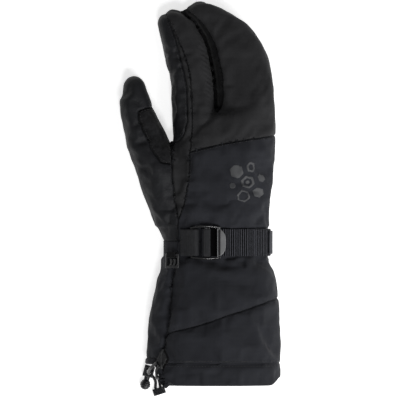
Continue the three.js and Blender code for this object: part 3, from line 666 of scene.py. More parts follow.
def walled(points, faces, normals, thickness):
    """Gives an open panel its thickness, closed all round, and draws its edge a little into itself."""
    used, faces = compacted(faces)
    outer, normals = points[used].copy(), normals[used]
    on_border = np.zeros(len(outer), bool)
    on_border[border_of(faces).ravel()] = True
    inward, count = np.zeros_like(outer), np.zeros(len(outer))
    edges = edges_of(faces)
    for a, b in (edges.T, edges[:, ::-1].T):
        inner_way = on_border[a] & ~on_border[b]
        for k in range(3):
            inward[:, k] += np.bincount(a[inner_way], (outer[b] - outer[a])[inner_way, k], len(outer))
        count += np.bincount(a[inner_way], minlength=len(outer))
    inward /= np.maximum(np.linalg.norm(inward, axis=1, keepdims=True), 1e-9)
    outer[on_border] += SEAM_GAP * inward[on_border]
    inner = outer - normals * thickness
    inner[:, 2] = np.maximum(inner[:, 2], np.minimum(thickness * 0.8, outer[:, 2] + thickness * 0.8))
    return closed_sheet(outer, inner, faces)


# Camera

def add_camera():
    camera = bpy.data.cameras.new("camera")
    camera.lens = 400
    camera.sensor_width = 36
    camera.clip_end = 20
    distance = PIXEL * PHOTO * camera.lens / camera.sensor_width
    obj = bpy.data.objects.new("camera", camera)
    bpy.context.collection.objects.link(obj)
    x, y, z = VIEW_CENTRE
    obj.location = (x * MM, y * MM, (z + distance) * MM)
    bpy.context.scene.camera = obj


add_camera()


# Materials

def new_material(name, colour, roughness):
    material = bpy.data.materials.new(name)
    material.use_nodes = True
    tree = material.node_tree
    shader = next(node for node in tree.nodes if node.type == "BSDF_PRINCIPLED")
    shader.inputs["Base Color"].default_value = (*colour, 1)
    shader.inputs["Roughness"].default_value = roughness
    return material, tree, shader


def add_node(tree, kind, **values):
    node = tree.nodes.new(kind)
    for key, value in values.items():
        if key in node.inputs:
            node.inputs[key].default_value = value
        else:
            setattr(node, key, value)
    return node


def noise(tree, coordinates, scale, detail=2.0, rough=0.5):
    node = add_node(tree, "ShaderNodeTexNoise", Scale=scale, Detail=detail, Roughness=rough)
    tree.links.new(coordinates, node.inputs["Vector"])
    return node.outputs["Fac"]


def place(tree):
    return tree.nodes.new("ShaderNodeTexCoord").outputs["Object"]


def tint(tree, shader, factor, dark, light):
    """Varies the base colour between two shades of it."""
    ramp = tree.nodes.new("ShaderNodeMapRange")
    ramp.inputs["From Min"].default_value = 0.3
    ramp.inputs["From Max"].default_value = 0.7
    tree.links.new(factor, ramp.inputs["Value"])
    mix = tree.nodes.new("ShaderNodeMix")
    mix.data_type = "RGBA"
    mix.inputs["A"].default_value = (*dark, 1)
    mix.inputs["B"].default_value = (*light, 1)
    tree.links.new(ramp.outputs["Result"], mix.inputs["Factor"])
    tree.links.new(mix.outputs["Result"], shader.inputs["Base Color"])


def bump(tree, shader, height, strength, distance):
    node = add_node(tree, "ShaderNodeBump", Strength=strength, Distance=distance)
    tree.links.new(height, node.inputs["Height"])
    previous = shader.inputs["Normal"].links
    if previous:
        tree.links.new(previous[0].from_socket, node.inputs["Normal"])
    tree.links.new(node.outputs["Normal"], shader.inputs["Normal"])


def wave(tree, coordinates, direction, scale, distortion=0.0):
    node = add_node(tree, "ShaderNodeTexWave", Scale=scale, Distortion=distortion)
    node.bands_direction = direction
    tree.links.new(coordinates, node.inputs["Vector"])
    return node.outputs["Fac"]


def multiply(tree, a, b):
    node = tree.nodes.new("ShaderNodeMath")
    node.operation = "MULTIPLY"
    tree.links.new(a, node.inputs[0])
    tree.links.new(b, node.inputs[1])
    return node.outputs[0]


def softshell(name, dark, light):
    """A fine plain weave with a little mottling and a soft sheen."""
    material, tree, shader = new_material(name, dark, 0.86)
    at = place(tree)
    tint(tree, shader, noise(tree, at, 60, 4, 0.6), dark, light)
    weave = multiply(tree, wave(tree, at, "X", 260, 0.4), wave(tree, at, "Y", 260, 0.4))
    bump(tree, shader, weave, 0.35, 0.0004)
    bump(tree, shader, noise(tree, at, 900, 2), 0.25, 0.0003)
    shader.inputs["Sheen Weight"].default_value = 0.03
    shader.inputs["Sheen Roughness"].default_value = 0.5
    shader.inputs["Specular IOR Level"].default_value = 0.2
    return material


def leather(name, dark, light, roughness):
    """Pebbled leather grain with softly worn high spots."""
    material, tree, shader = new_material(name, dark, roughness)
    at = place(tree)
    tint(tree, shader, noise(tree, at, 90, 5, 0.65), dark, light)
    cells = add_node(tree, "ShaderNodeTexVoronoi", Scale=620.0)
    cells.feature = "SMOOTH_F1"
    tree.links.new(at, cells.inputs["Vector"])
    bump(tree, shader, cells.outputs["Distance"], 0.4, 0.0006)
    bump(tree, shader, noise(tree, at, 240, 5, 0.6), 0.3, 0.0008)
    shader.inputs["Specular IOR Level"].default_value = 0.19
    return material


def suede(name, dark, light, painted_shade=None):
    """A matt nap. Where painted_shade is given, the nap's lighter tint fades out along a direction, as
    painted shade: the direction in XY, and where along it the nap is full and where it is gone.
    """
    material, tree, shader = new_material(name, dark, 0.95)
    at = place(tree)
    nap = noise(tree, at, 160, 6, 0.7)
    # Painted shade: the nap's lighter tint fades out along the direction, leaving the dark colour.
    if painted_shade:
        direction, full, none = painted_shade
        along = add_node(tree, "ShaderNodeVectorMath", operation="DOT_PRODUCT")
        along.inputs[1].default_value = (*direction, 0)
        tree.links.new(at, along.inputs[0])
        share = tree.nodes.new("ShaderNodeMapRange")
        share.inputs["From Min"].default_value = none
        share.inputs["From Max"].default_value = full
        tree.links.new(along.outputs["Value"], share.inputs["Value"])
        nap = multiply(tree, nap, share.outputs["Result"])
    tint(tree, shader, nap, dark, light)
    bump(tree, shader, noise(tree, at, 1400, 4, 0.7), 0.5, 0.0005)
    shader.inputs["Sheen Weight"].default_value = 0.05
    shader.inputs["Specular IOR Level"].default_value = 0.12
    return material


def webbing_cloth(name, dark, light, roughness=0.7, shine=0.3):
    material, tree, shader = new_material(name, dark, roughness)
    at = place(tree)
    tint(tree, shader, noise(tree, at, 300, 3, 0.6), dark, light)
    bump(tree, shader, wave(tree, at, "Y", 420, 0.6), 0.5, 0.0005)
    shader.inputs["Sheen Weight"].default_value = 0.1 * shine
    shader.inputs["Specular IOR Level"].default_value = shine
    return material


def plastic(name, colour, roughness, grain=0.12, shine=0.55):
    material, tree, shader = new_material(name, colour, roughness)
    at = place(tree)
    tint(tree, shader, noise(tree, at, 120, 3), colour, tuple(min(1, c * 1.25) for c in colour))
    bump(tree, shader, noise(tree, at, 700, 3), grain, 0.0003)
    shader.inputs["Specular IOR Level"].default_value = shine
    return material


# Painted shade on the thumb patch, darker toward the crotch side where the hand shades it: its direction,
# and the places along it, in metres, where the nap is full and where it is gone.
PATCH_PAINTED_SHADE = ((0.907, 0.42), -0.0355, -0.0285)

MATERIALS = {
    "softshell_upper": softshell("softshell_upper", (0.0147, 0.0147, 0.0157), (0.0208, 0.0208, 0.0222)),
    "softshell_lower": softshell("softshell_lower", (0.0132, 0.014, 0.0175), (0.0187, 0.0197, 0.0243)),
    "softshell_cuff": softshell("softshell_cuff", (0.0112, 0.0119, 0.0149), (0.0158, 0.0167, 0.0207)),
    "leather": leather("leather", (0.007, 0.0073, 0.0087), (0.0115, 0.012, 0.014), 0.62),
    # The thumb patch's suede is painted darker toward the crotch side: painted shade.
    "suede": suede("suede", (0.002, 0.002, 0.0023), (0.018, 0.018, 0.0195), PATCH_PAINTED_SHADE),
    "webbing": webbing_cloth("webbing", (0.02, 0.021, 0.0262), (0.034, 0.0356, 0.0445)),
    "webbing_plain": webbing_cloth("webbing_plain", (0.008, 0.0083, 0.0097), (0.015, 0.0156, 0.018)),
    # Near-black webbing: painted shade in the buckle's slots, and in the rib valleys, where it is partly the
    # weave's real dark gaps and partly painted shade.
    "webbing_shade": webbing_cloth(
        "webbing_shade", (0.0008, 0.0008, 0.0009), (0.0015, 0.0015, 0.0017), shine=0.03
    ),
    # Dark suede: the clip loop's own colour, and also the painted shadow beside the exit tab.
    "lining_and_painted_shadow": suede("lining_and_painted_shadow", (0.0022, 0.0022, 0.0025), (0.0055, 0.0055, 0.006)),
    # Cloth painted darker than the shell's: painted shade of the deep slit between index and lobe.
    "slit_cloth_painted_shade": suede("slit_cloth_painted_shade", (0.0035, 0.0035, 0.0039), (0.0085, 0.0085, 0.0092)),
    "tab_leather": leather("tab_leather", (0.013, 0.0132, 0.014), (0.021, 0.0213, 0.0225), 0.5),
    "print": plastic("print", (0.026, 0.027, 0.0295), 0.62, 0.3),
    "buckle": plastic("buckle", (0.007, 0.007, 0.0078), 0.22, shine=0.75),
    # A light grey copy of the buckle's plastic: a painted highlight for the tops of the tab and the lip.
    "buckle_painted_highlight": plastic("buckle_painted_highlight", (0.118, 0.1195, 0.123), 0.33, 0.4),
    "clip": plastic("clip", (0.009, 0.009, 0.01), 0.28, shine=0.8),
    "lock": plastic("lock", (0.006, 0.0064, 0.008), 0.28, shine=0.4),
    "elastic": webbing_cloth("elastic", (0.005, 0.005, 0.0057), (0.011, 0.011, 0.012), 0.32, 0.32),
    "thread": webbing_cloth("thread", (0.014, 0.014, 0.0155), (0.024, 0.024, 0.026)),
}


def dress(obj, material, *nodes, slot=None, body="mitt"):
    """Gives a piece its material, its body and the CAD nodes that it stands for."""
    obj.data.materials.clear()
    obj.data.materials.append(MATERIALS[material])
    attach(obj, body)
    if nodes:
        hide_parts(*nodes)
    return obj


# Drawcords, in the same places as their solids

def body_height(x, y):
    """Height of the hand's or cuff's plain upper surface."""
    left, right, top = section_at(y)
    peak = left + PEAK_SHARE * (right - left)
    reach = peak - left if x < peak else right - peak
    share = min(1, abs(x - peak) / reach)
    widest = WIDEST_SHARE * top
    return widest + (top - widest) * (1 - share**ROUNDNESS) ** (1 / ROUNDNESS)


def turned(centre, turn, x, y, z):
    """A point given in a turned frame around a centre."""
    c, s = math.cos(turn), math.sin(turn)
    return (centre[0] + c * x - s * y, centre[1] + s * x + c * y, centre[2] + z)


def lock_point(x, y, z):
    return turned(LOCK_CENTRE, LOCK_TURN, x, y, z)


def end_point(x, y, z):
    return turned(END_CENTRE, END_TURN, x, y, z)


def cord_routes():
    over = lambda x, y, height: (x, y, body_height(x, y) + height)
    x, y, _ = lock_point(0, -0.25, 0)
    long_route = [
        over(-58, -166.5, OVER_TAB), over(-60.4, -170.6, 3.9),
        (-60.4, -174.2, body_height(-60.4, -173.5) + 2.8), (-60.3, -176.8, 45), (-60, -178.2, 41),
        (-59.6, -178.3, 33), (-59.2, -178.3, 22), (-58.9, -179.2, 12),
        (-58.6, -181, 6), (-58.2, -182.9, 3.4), (-57.9, -184.7, 2.5),
    ]
    long_route += [end_point(END_BORE_OFFSET, along, 0) for along in (4.4, 2, -1.1)]
    short_route = [
        over(-59.9, -163.9, OVER_TAB), over(-62.8, -166.2, 4), (-65.8, -169.2, 40),
        lock_point(0, -0.25, 20), lock_point(0, -0.25, 5), (x, y, 3.2), (x + 0.3, y - 0.5, 1.9),
        (x + 1.5, y - 2.4, 1.4), (x + 4.4, y - 5.6, 1.4), (-61.8, -182.6, 1.4), (-61.7, -185.6, 2),
    ]
    short_route += [end_point(-END_BORE_OFFSET, along, 0) for along in (4.2, 2, -1.1)]
    return {"drawcord_long": long_route, "drawcord_short": short_route}


def add_cord(name, route):
    points = even_spline(route, 40) * MM
    curve = bpy.data.curves.new(name + "_elastic", "CURVE")
    curve.dimensions = "3D"
    curve.bevel_depth = CORD_DIAMETER * MM / 2
    curve.bevel_resolution = 4
    line = curve.splines.new("POLY")
    line.points.add(len(points) - 1)
    for target, point in zip(line.points, points):
        target.co = (*point, 1)
    obj = bpy.data.objects.new(name + "_elastic", curve)
    bpy.context.collection.objects.link(obj)
    length = float(np.linalg.norm(np.diff(points, axis=0), axis=1).sum())
    return dress(obj, "elastic", name, slot="elastic"), points, length


cords = {name: add_cord(name, route) for name, route in cord_routes().items()}


# The shell's panels

PANEL_LOOKS = {
    "finger_back_panel": ("softshell_upper", 0.55),
    "hand_back_panel": ("softshell_lower", 0.55),
    "index_gusset": ("softshell_upper", 0.4),
    # The fourchette in the slit takes the darker cloth: painted shade.
    "finger_fourchette": ("slit_cloth_painted_shade", 0.4),
    "thumb_wipe_patch": ("suede", 0.5),
    "thumb_back": ("leather", 0.55),
    "thumb_palm": ("leather", 0.5),
    "palm_leather": ("leather", 0.5),
    "cuff_upper_back": ("softshell_cuff", 0.35),
    "cuff_lower_back": ("softshell_cuff", 0.35),
    "cuff_palm_panel": ("softshell_cuff", 0.35),
    "hem_band": ("softshell_cuff", 0.35),
}

plain, skin_faces = mitt_skin()
skin, panels = panel_faces(plain, skin_faces)
shell_faces = np.vstack(list(panels.values()))
cloth_moves = carried_over(*settled_cloth(), skin[:, :3])
shell_points = shaped(np.column_stack([skin[:, :3] + cloth_moves, skin[:, 3]]), shell_faces)
shell_normals = normals_of(shell_points, shell_faces)
shell_tree = BVHTree.FromPolygons(shell_points.tolist(), shell_faces.tolist())

for name, (look, fill) in PANEL_LOOKS.items():
    wall = HEM_WALL if name == "hem_band" else WALL
    points, faces = walled(shell_points, panels[name], shell_normals, wall)
    piece = dress(mesh_object(name + "_cloth", points, faces), look, name)


def patch_on_shell(level, low, high):
    """A thin closed patch over the part of the shell where the level is below zero."""
    points, inside, _ = cut(np.hstack([skin[:, :3], shell_points, shell_normals]), shell_faces, level)
    used, faces = compacted(inside)
    base, normals = points[used, 3:6], points[used, 6:9]
    return closed_sheet(base + normals * high, base + normals * low, faces)


# Strap, buckle and clip follow lines over the wrist

def surface_line(y, start_x):
    """Points over the top of the section at y, and their distances from where it crosses start_x."""
    left, right, top = section_at(y)
    angle = math.pi * (1 - 1.2 * np.linspace(0, 1, 400))
    points = section_points(angle, left, right, 0, top)
    run = run_along(points)
    even = np.linspace(0, run[-1], 500)
    points = np.stack([np.interp(even, run, points[:, k]) for k in range(2)], axis=1)
    for _ in range(30):
        points[1:-1] = (points[:-2] + 2 * points[1:-1] + points[2:]) / 4
    zero = even[np.argmax(points[:, 0] >= start_x)]
    return even - zero, points


def on_line(line, distance, height):
    """X and Z at distances along a surface line and heights above it."""
    run, points = line
    slope = unit(np.gradient(points, run, axis=0))
    x, z, dx, dz = (np.interp(distance, run, column) for column in (*points.T, *slope.T))
    return x - dz * height, z + dx * height


def band_on(name, line, path, width, rib=0.4, tail_width=None):
    """A ribbed webbing band along a path over a line, and each face's look: 0 for ribbed webbing, 1 for the
    near-black painted shade in the rib valleys and the buckle's slots, 2 for plain webbing over the bar.
    """
    path = even_spline(path, 60 * len(path))
    length = np.linalg.norm(np.diff(path, axis=0), axis=1).sum()
    path = even_spline(path, int(length / 0.3))
    middle = np.stack(on_line(line, path[:, 0], path[:, 1]), axis=1)
    run = run_along(middle)
    way = unit(np.gradient(middle, axis=0))
    across = np.stack([-way[:, 1], way[:, 0]], axis=1)
    ribs = np.abs(np.sin(math.pi * run / RIB_PITCH)) ** 0.7
    from_end = smoothstep(run[-1] - run, 9.5, 12) if tail_width else np.ones(len(run))
    half_y = (from_end * width + (1 - from_end) * (tail_width or width)) / 2 - 0.15 * (1 - ribs)
    half_t = WEBBING / 2 * (1 - rib * (0.35 + 0.65 * from_end) * (1 - ribs))
    inset = [(-1, 0.3), (-0.985, 0.75), (-0.94, 1), (-0.6, 0.94), (-0.2, 0.92)]
    inset += [(-u, t) for u, t in reversed(inset)]
    profile = inset + [(u, -t) for u, t in reversed(inset)]
    count = len(profile)
    points = []
    for spot, side, reach, thick in zip(middle, across, half_y, half_t):
        for u, t in profile:
            x, z = spot + side * (thick * t)
            points.append((x, STRAP_Y + reach * u, z))
    faces = ring_faces(len(middle), count, flip=True)
    # Painted shade: faces down in the buckle's slots take the near-black look. So do the rib valleys, whose
    # dark is partly the weave's real gaps and partly painted shade.
    rising = (path[:, 0] < 10) & (path[:, 1] > LOWER + 0.1) | (path[:, 0] > 16.9) & (path[:, 0] < 23.4)
    painted_slot_shade = rising & (path[:, 1] < OVER_BAR - 0.05) & (path[:, 1] > LOWER + 0.1)
    looks = np.where((ribs < 0.75) & (from_end > 0.5) | painted_slot_shade, 1, 0)
    looks[(path[:, 1] > OVER_BAR - 0.1) & ~painted_slot_shade] = 2
    return mesh_object(name, points, faces), np.repeat(looks, count)[:-count]


def more_materials(obj, materials, looks):
    """Gives a piece's faces other materials where their look is 1, 2 and so on."""
    for material in materials:
        obj.data.materials.append(MATERIALS[material])
    for index in np.flatnonzero(looks):
        obj.data.polygons[int(index)].material_index = int(looks[index])


def block_on(line, along, heights, across, steps=6):
    """A box in distances, heights and Y over a line, with enough points to bend with it."""
    s = np.linspace(along[0], along[1], steps + 1)
    rings = []
    for distance in s:
        for i, k in ((0, 0), (1, 0), (1, 1), (0, 1)):
            h, y = heights[i], across[k]
            x, z = on_line(line, distance, h)
            rings.append((float(x), y, float(z)))
    return np.array(rings), ring_faces(steps + 1, 4)


def moulded(name, blocks, voxel=0.3, rounds=6):
    """Overlapping blocks melted into one moulding with rounded edges."""
    points, faces = remeshed(*joined(blocks), voxel)
    return mesh_object(name, relaxed(points, faces, rounds), faces)


def plate_on(line, outline, low, high):
    """A plate over a line whose outline is in distance and Y. Its top may slope with the distance."""
    under, over = [], []
    for s, y in outline:
        x, z = on_line(line, s, low)
        under.append((float(x), y, float(z)))
        x, z = on_line(line, s, high(s) if callable(high) else high)
        over.append((float(x), y, float(z)))
    size = len(outline)
    faces = [tuple(range(size)), tuple(reversed(range(size, 2 * size)))]
    faces += [(i, i + size, (i + 1) % size + size, (i + 1) % size) for i in range(size)]
    return np.array(under + over), faces


def rod_along(path, half_width, half_height, sides=10):
    """A bar with an oval section along a path of points, given as X, Y and Z."""
    path = even_spline(path, 60)
    way = unit(np.gradient(path, axis=0))
    side = unit(np.cross(way, [0, 0, 1.0]))
    up = np.cross(side, way)
    points = []
    for i in range(len(path)):
        for k in range(sides):
            angle = 2 * math.pi * k / sides
            sideways = side[i] * half_width * math.cos(angle)
            points.append(path[i] + sideways + up[i] * half_height * math.sin(angle))
    return np.array(points), ring_faces(len(path), sides)


def softened(node, voxel, rounds, shape=None, grow=0.15):
    """A moulding with rounded edges from the CAD node's own shape."""
    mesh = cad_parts[node].data
    points = np.array([vertex.co for vertex in mesh.vertices]) / MM
    corners, back = np.unique(np.round(points, 4), axis=0, return_inverse=True)
    faces = [tuple(int(back[i]) for i in face.vertices) for face in mesh.polygons]
    points, faces = remeshed(corners, faces, voxel)
    points = relaxed(points, faces, rounds)
    points = points + grow * normals_of(points, faces)
    if shape:
        points = shape(points, normals_of(points, faces))
    points[:, 2] = np.maximum(points[:, 2], FLOOR_GAP)
    return mesh_object(node + "_moulding", points, faces)


wrist = surface_line(STRAP_Y, -29)
wrist_end = float(wrist[0][-1])
LOWER = LAYER_GAP + WEBBING / 2
UPPER = LOWER + WEBBING + LAYER_GAP
BAR_LOW = LOWER + WEBBING / 2 + LAYER_GAP
OVER_BAR = BAR_LOW + BAR_HEIGHT + LAYER_GAP + WEBBING / 2
TAB_LOW = UPPER + WEBBING / 2 + LAYER_GAP

anchor_path = [
    (-9.5, LOWER), (-5, LOWER), (0, LOWER), (4.4, LOWER), (6.3, (LOWER + OVER_BAR) / 2), (4.4, OVER_BAR),
    (0.6, OVER_BAR), (-3, UPPER + 1.2), (-6, UPPER + 0.2), (-9.5, UPPER),
]
tail = wrist_end - 29
lower_run = (wrist_end - 8, wrist_end - 16, wrist_end - 26, tail - 8, 44, 32, 20)
strap_path = [(along, LOWER) for along in lower_run] + [
    (11.4, LOWER), (9.3, (LOWER + OVER_BAR) / 2), (11.2, OVER_BAR), (16.4, OVER_BAR),
    (18.3, UPPER + 1.6), (19.4, UPPER + 0.5), (21, UPPER), (30, UPPER), (44, UPPER), (tail - 8, UPPER),
    (tail + 2, UPPER), (tail + 6.4, UPPER + 0.2), (tail + 7.8, UPPER + 0.9), (tail + 6.4, UPPER + 1.6),
    (tail + 1, UPPER + 1.5),
]
anchor, _ = band_on("anchor_band", wrist, anchor_path, 23.6, rib=0.25)
dress(anchor, "webbing_plain", "strap_anchor")
strap, strap_looks = band_on("strap_band", wrist, strap_path, BAND_WIDTH, tail_width=TAIL_WIDTH)
dress(strap, "webbing", "strap_webbing")
more_materials(strap, ["webbing_shade", "webbing_plain"], strap_looks)


def buckle_moulding():
    """Two bowed rails, two bars, a thin lip and a raised tab with a bowed front."""
    outer = STRAP_WIDTH / 2 + 0.4 + RAIL_WIDTH
    blocks = []
    rail_line = [
        (0, -0.9, 0), (4, -0.1, 1.1), (9, 0.5, 1.9), (14, 0.6, 1.9), (19, 0.3, 1.5), (23, 0, 1.2),
        (26, -0.6, 1.3),
    ]
    for side in (-1, 1):
        path = []
        for s, bow, rise in rail_line:
            x, z = on_line(wrist, s, BAR_LOW + BAR_HEIGHT / 2 + rise)
            path.append((float(x), STRAP_Y + side * (outer - RAIL_WIDTH / 2 + bow), float(z)))
        blocks.append(rod_along(path, RAIL_WIDTH / 2 + 0.4, BAR_HEIGHT / 2 + 0.1))
    whole = (STRAP_Y - outer + 0.8, STRAP_Y + outer - 0.8)
    bars = (BAR_LOW, BAR_LOW + BAR_HEIGHT)
    blocks.append(block_on(wrist, (0, 3.6), bars, (whole[0] + 0.8, whole[1] - 0.8)))
    blocks.append(block_on(wrist, (11.5, 17), bars, whole))
    run, points = wrist
    front = float(np.interp(TAB_FRONT + 0.5, points[: len(run) // 2, 0], run[: len(run) // 2]))

    def tab(start, bow, half, low, high):
        shares = np.linspace(-1, 1, 41)
        bowed = [(front - bow * abs(u) ** TAB_POWER, STRAP_Y + u * half) for u in shares]
        bowed = [spot for spot in bowed if spot[0] > start + 0.3]
        straight = [(start, y) for _, y in reversed(bowed)]
        return plate_on(wrist, bowed + straight, low, high)

    lip = [(23.1, whole[0] + 1.2), (24.1, whole[0] + 1), (24.1, whole[1] - 1), (23.1, whole[1] - 1.2)]
    blocks.append(plate_on(wrist, lip, TAB_LOW, TAB_LOW + 2.4))
    blocks.append(tab(23.6, TAB_FOOT_BOW, outer - 0.3, TAB_LOW, TAB_LOW + 0.8))
    slope = lambda s: TAB_LOW + 2.1 + 0.12 * (s - 26)
    blocks.append(tab(25.8, TAB_TOP_BOW, outer - 0.5, TAB_LOW + 0.5, slope))
    return moulded("buckle_moulding", blocks, 0.24, 5)


buckle = dress(buckle_moulding(), "buckle", "ladder_buckle")
# Painted highlight: the upward faces of the tab and of the lip's edge take light grey plastic that stands
# for the dark glossy plastic's reflection.
tab_start = float(on_line(wrist, 25.6, TAB_LOW + 2)[0])
lip_start = float(on_line(wrist, 23.2, TAB_LOW + 2)[0])
painted_highlight_faces = [
    face.normal[2] > 0.3
    and abs(face.center[1] / MM - STRAP_Y) < STRAP_WIDTH / 2 + 0.7
    and (face.center[0] / MM > tab_start or lip_start < face.center[0] / MM < lip_start + 0.7)
    for face in buckle.data.polygons
]
more_materials(buckle, ["buckle_painted_highlight"], np.array(painted_highlight_faces, int))


def clip_shape(points, normals):
    """Bows the clip's two prongs toward the back of the hand."""
    low, high, left, right = -77.3, -68.3, -49.4, -41.8
    share = (points[:, 1] - low) / (high - low)
    inside = (share > 0) & (share < 1) & (points[:, 0] > left) & (points[:, 0] < right)
    points[:, 0] += inside * 1.3 * (1 - (2 * share - 1) ** 2)
    return points


dress(softened("glove_clip", 0.26, 5, clip_shape), "clip", "glove_clip")
dress(softened("clip_loop", 0.22, 4), "lining_and_painted_shadow", "clip_loop")


def turned_back(points, centre, turn):
    """X and Y of points in the turned frame around a centre, and their heights over it."""
    x, y, z = (points - centre).T
    c, s = math.cos(-turn), math.sin(-turn)
    return c * x - s * y, s * x + c * y, z


def barrel_shape(points, normals):
    """Shallow thumb rests on the barrel's top and bottom."""
    x, y, z = turned_back(points, LOCK_CENTRE, LOCK_TURN)
    ring = np.sqrt((x / 3.4) ** 2 + ((y + 0.25) / 4) ** 2)
    groove = 0.35 * np.exp(-(((ring - 0.85) / 0.16) ** 2)) * (np.abs(z) > 3)
    return points - normals * groove[:, None]


def ball_shape(points, normals):
    """Two turned grooves round the button."""
    centre = np.array(lock_point(0, -BARREL_LENGTH / 2 - LOCK_TRAVEL - BALL_DIAMETER / 2 - 0.3, 0))
    axis = np.array([-math.sin(LOCK_TURN), math.cos(LOCK_TURN), 0])
    along = (points - centre) @ axis
    groove = sum(0.4 * np.exp(-(((along - at) / 0.45) ** 2)) for at in (-2.1, 0, 2.1))
    reach = np.linalg.norm(points - centre - along[:, None] * axis, axis=1)
    groove = groove * (along < 3.4) * (reach > 1.5)
    return points - normals * groove[:, None]


def end_shape(points, normals):
    """Slanting finger grooves over the cord end's top."""
    x, y, _ = turned_back(points, END_CENTRE, END_TURN)
    slant = x + 0.5 * y
    groove = sum(0.45 * np.exp(-(((slant - at) / 0.5) ** 2)) for at in (-3, -1, 1, 3))
    return points - normals * (groove * (normals[:, 2] > 0.3))[:, None]


barrel = dress(softened("cord_lock_barrel", 0.22, 5, barrel_shape, grow=0), "lock", "cord_lock_barrel")
plunger = softened("cord_lock_plunger", 0.22, 3, ball_shape, grow=-0.05)
dress(plunger, "lock", "cord_lock_plunger", body="lock_button")
cord_end = dress(softened("cord_end", 0.2, 5, end_shape), "lock", "cord_end")


# Leather tab with a painted shadow beside it, and print, laid on the shell

TAB_OUTLINE = [(-54.7, -151.2), (-49.8, -160), (-56.5, -171), (-60.5, -165)]
PRINT_CENTRE, CELL, CELL_STEP, PRINT_TURN = (20.5, -1.5), 6, 13.6, math.radians(14)
# Each cell of the honeycomb print: two steps along its axes, outer size and inner size in shares of a cell
PRINT_CELLS = [
    (0, 0, 1, 0.62), (0, 0, 0.32, 0), (1, 0, 0.62, 0), (-1, 1, 1, 0), (0, 1, 0.8, 0.45), (0, -1, 1, 0.72),
    (-1, 0, 0.5, 0), (1, -1, 0.8, 0),
]


def rounded_outline(points, outline, radius):
    """Signed distance to an outline with rounded corners."""
    corners = np.array(outline, float)
    middle = corners.mean(axis=0)
    reach = np.linalg.norm(corners - middle, axis=1, keepdims=True)
    return outline_distance(points[:, :2], middle + (corners - middle) * (1 - 1.6 * radius / reach)) - radius


def hexagon_level(points, centre, size):
    """Below zero inside a hexagon of a size, measured from its middle to its sides."""
    local = points[:, :2] - centre
    turns = PRINT_TURN + np.arange(3) * math.pi / 3
    return np.max([np.abs(local @ np.array([math.cos(t), math.sin(t)])) for t in turns], axis=0) - size


def print_level(points):
    level = np.full(len(points), 1e3)
    for a, b, outer, inner in PRINT_CELLS:
        step = np.array([a + b / 2, b * math.sqrt(3) / 2]) * CELL_STEP
        c, s = math.cos(PRINT_TURN), math.sin(PRINT_TURN)
        centre = np.array(PRINT_CENTRE) + [c * step[0] - s * step[1], s * step[0] + c * step[1]]
        cell = hexagon_level(points, centre, outer * CELL * 0.9)
        if inner:
            cell = np.maximum(cell, -hexagon_level(points, centre, inner * CELL * 0.9))
        level = np.minimum(level, cell)
    return np.maximum(level, BACK_HEIGHT - points[:, 2])


tab_level = np.maximum(rounded_outline(skin[:, :3], TAB_OUTLINE, 1.2), BACK_HEIGHT - skin[:, 2])
tab_points, tab_faces = patch_on_shell(tab_level, LAYER_GAP + 0.1, LAYER_GAP + 2)
tab_points = relaxed(tab_points, tab_faces, 3)
dress(mesh_object("exit_tab_leather", tab_points, tab_faces), "tab_leather", "cord_exit_tab")
# Painted shadow: a thin dark sheet under the tab, shifted to its right and a little toward the hem's edge,
# stands for the tab's shadow.
tab_shadow_level = rounded_outline(skin[:, :3] - [1.4, -0.6, 0], TAB_OUTLINE, 0.6)
tab_shadow_level = np.maximum(tab_shadow_level, BACK_HEIGHT - skin[:, 2])
dress(mesh_object("exit_tab_painted_shadow", *patch_on_shell(tab_shadow_level, 0.05, 0.45)), "lining_and_painted_shadow", slot="softshell")

print_points, print_faces = patch_on_shell(print_level(skin), 0.03, 0.16)
dress(mesh_object("honeycomb_print", print_points, print_faces), "print", slot="softshell")


# Stitches

def offset_line(points, distance):
    """The same line moved to its left."""
    points = even_spline(points, 160)
    way = unit(np.gradient(points, axis=0))
    return points + distance * np.stack([-way[:, 1], way[:, 0]], axis=1)


def stitches(name, lines, tree=None, spacing=2.7, length=1.9, radius=0.26, sides=6):
    """Short threads along lines in the XY plane, each dipping into what lies under it at both ends."""
    points, faces = [], []
    for line in lines:
        run = run_along(line)
        for middle in np.arange(spacing, run[-1] - spacing, spacing):
            spots = []
            for share, lift in ((-0.5, -1.2), (-0.36, 0.35), (0, 0.75), (0.36, 0.35), (0.5, -1.2)):
                at = middle + share * length
                x, y = (float(np.interp(at, run, line[:, k])) for k in (0, 1))
                hit = (tree or shell_tree).ray_cast(Vector((x, y, 200)), Vector((0, 0, -1)))
                if hit[0] is None:
                    break
                spots.append(np.array(hit[0] + hit[1] * lift * radius))
            if len(spots) < 5 or np.linalg.norm(spots[-1] - spots[0]) > 2 * length:
                continue
            way = spots[-1] - spots[0]
            way /= np.linalg.norm(way)
            side = np.cross(way, [0.1, 0.2, 1.0])
            side /= np.linalg.norm(side)
            up = np.cross(side, way)
            faces += ring_faces(len(spots), sides, start=len(points))
            for spot in spots:
                for k in range(sides):
                    angle = 2 * math.pi * k / sides
                    points.append(spot + radius * (side * math.cos(angle) + up * math.sin(angle)))
    return dress(mesh_object(name, points, faces), "thread", slot="webbing")


def hem_rows():
    x = np.linspace(-64, 49, 160)
    hem_y = WRIST_Y - HEM_SHARE * CUFF_LENGTH
    line = np.stack([x, hem_y + hem_lift(x, hem_y)], axis=1)
    return [line + [0, 2.3], line + [0, -2.3]]


stitches("hem_stitches", hem_rows())
stitches("back_stitches", [
    offset_line(hand_points(GUSSET_TOP[1:] + GUSSET_LOW[1:-1]), 1.7),
    offset_line(hand_points(BACK_SEAM), -1.7),
    offset_line(hand_points(LEATHER_EDGE[:-1]), -1.5),
])
stitches("thumb_stitches", [
    offset_line(hand_points(PATCH_SEAM), 1.5),
    offset_line(hand_points(HEEL_SEAM), -1.5),
])
stitches("cuff_stitches", [offset_line(cuff_points(CUFF_SIDE_SEAM[1:]), 1.6)])


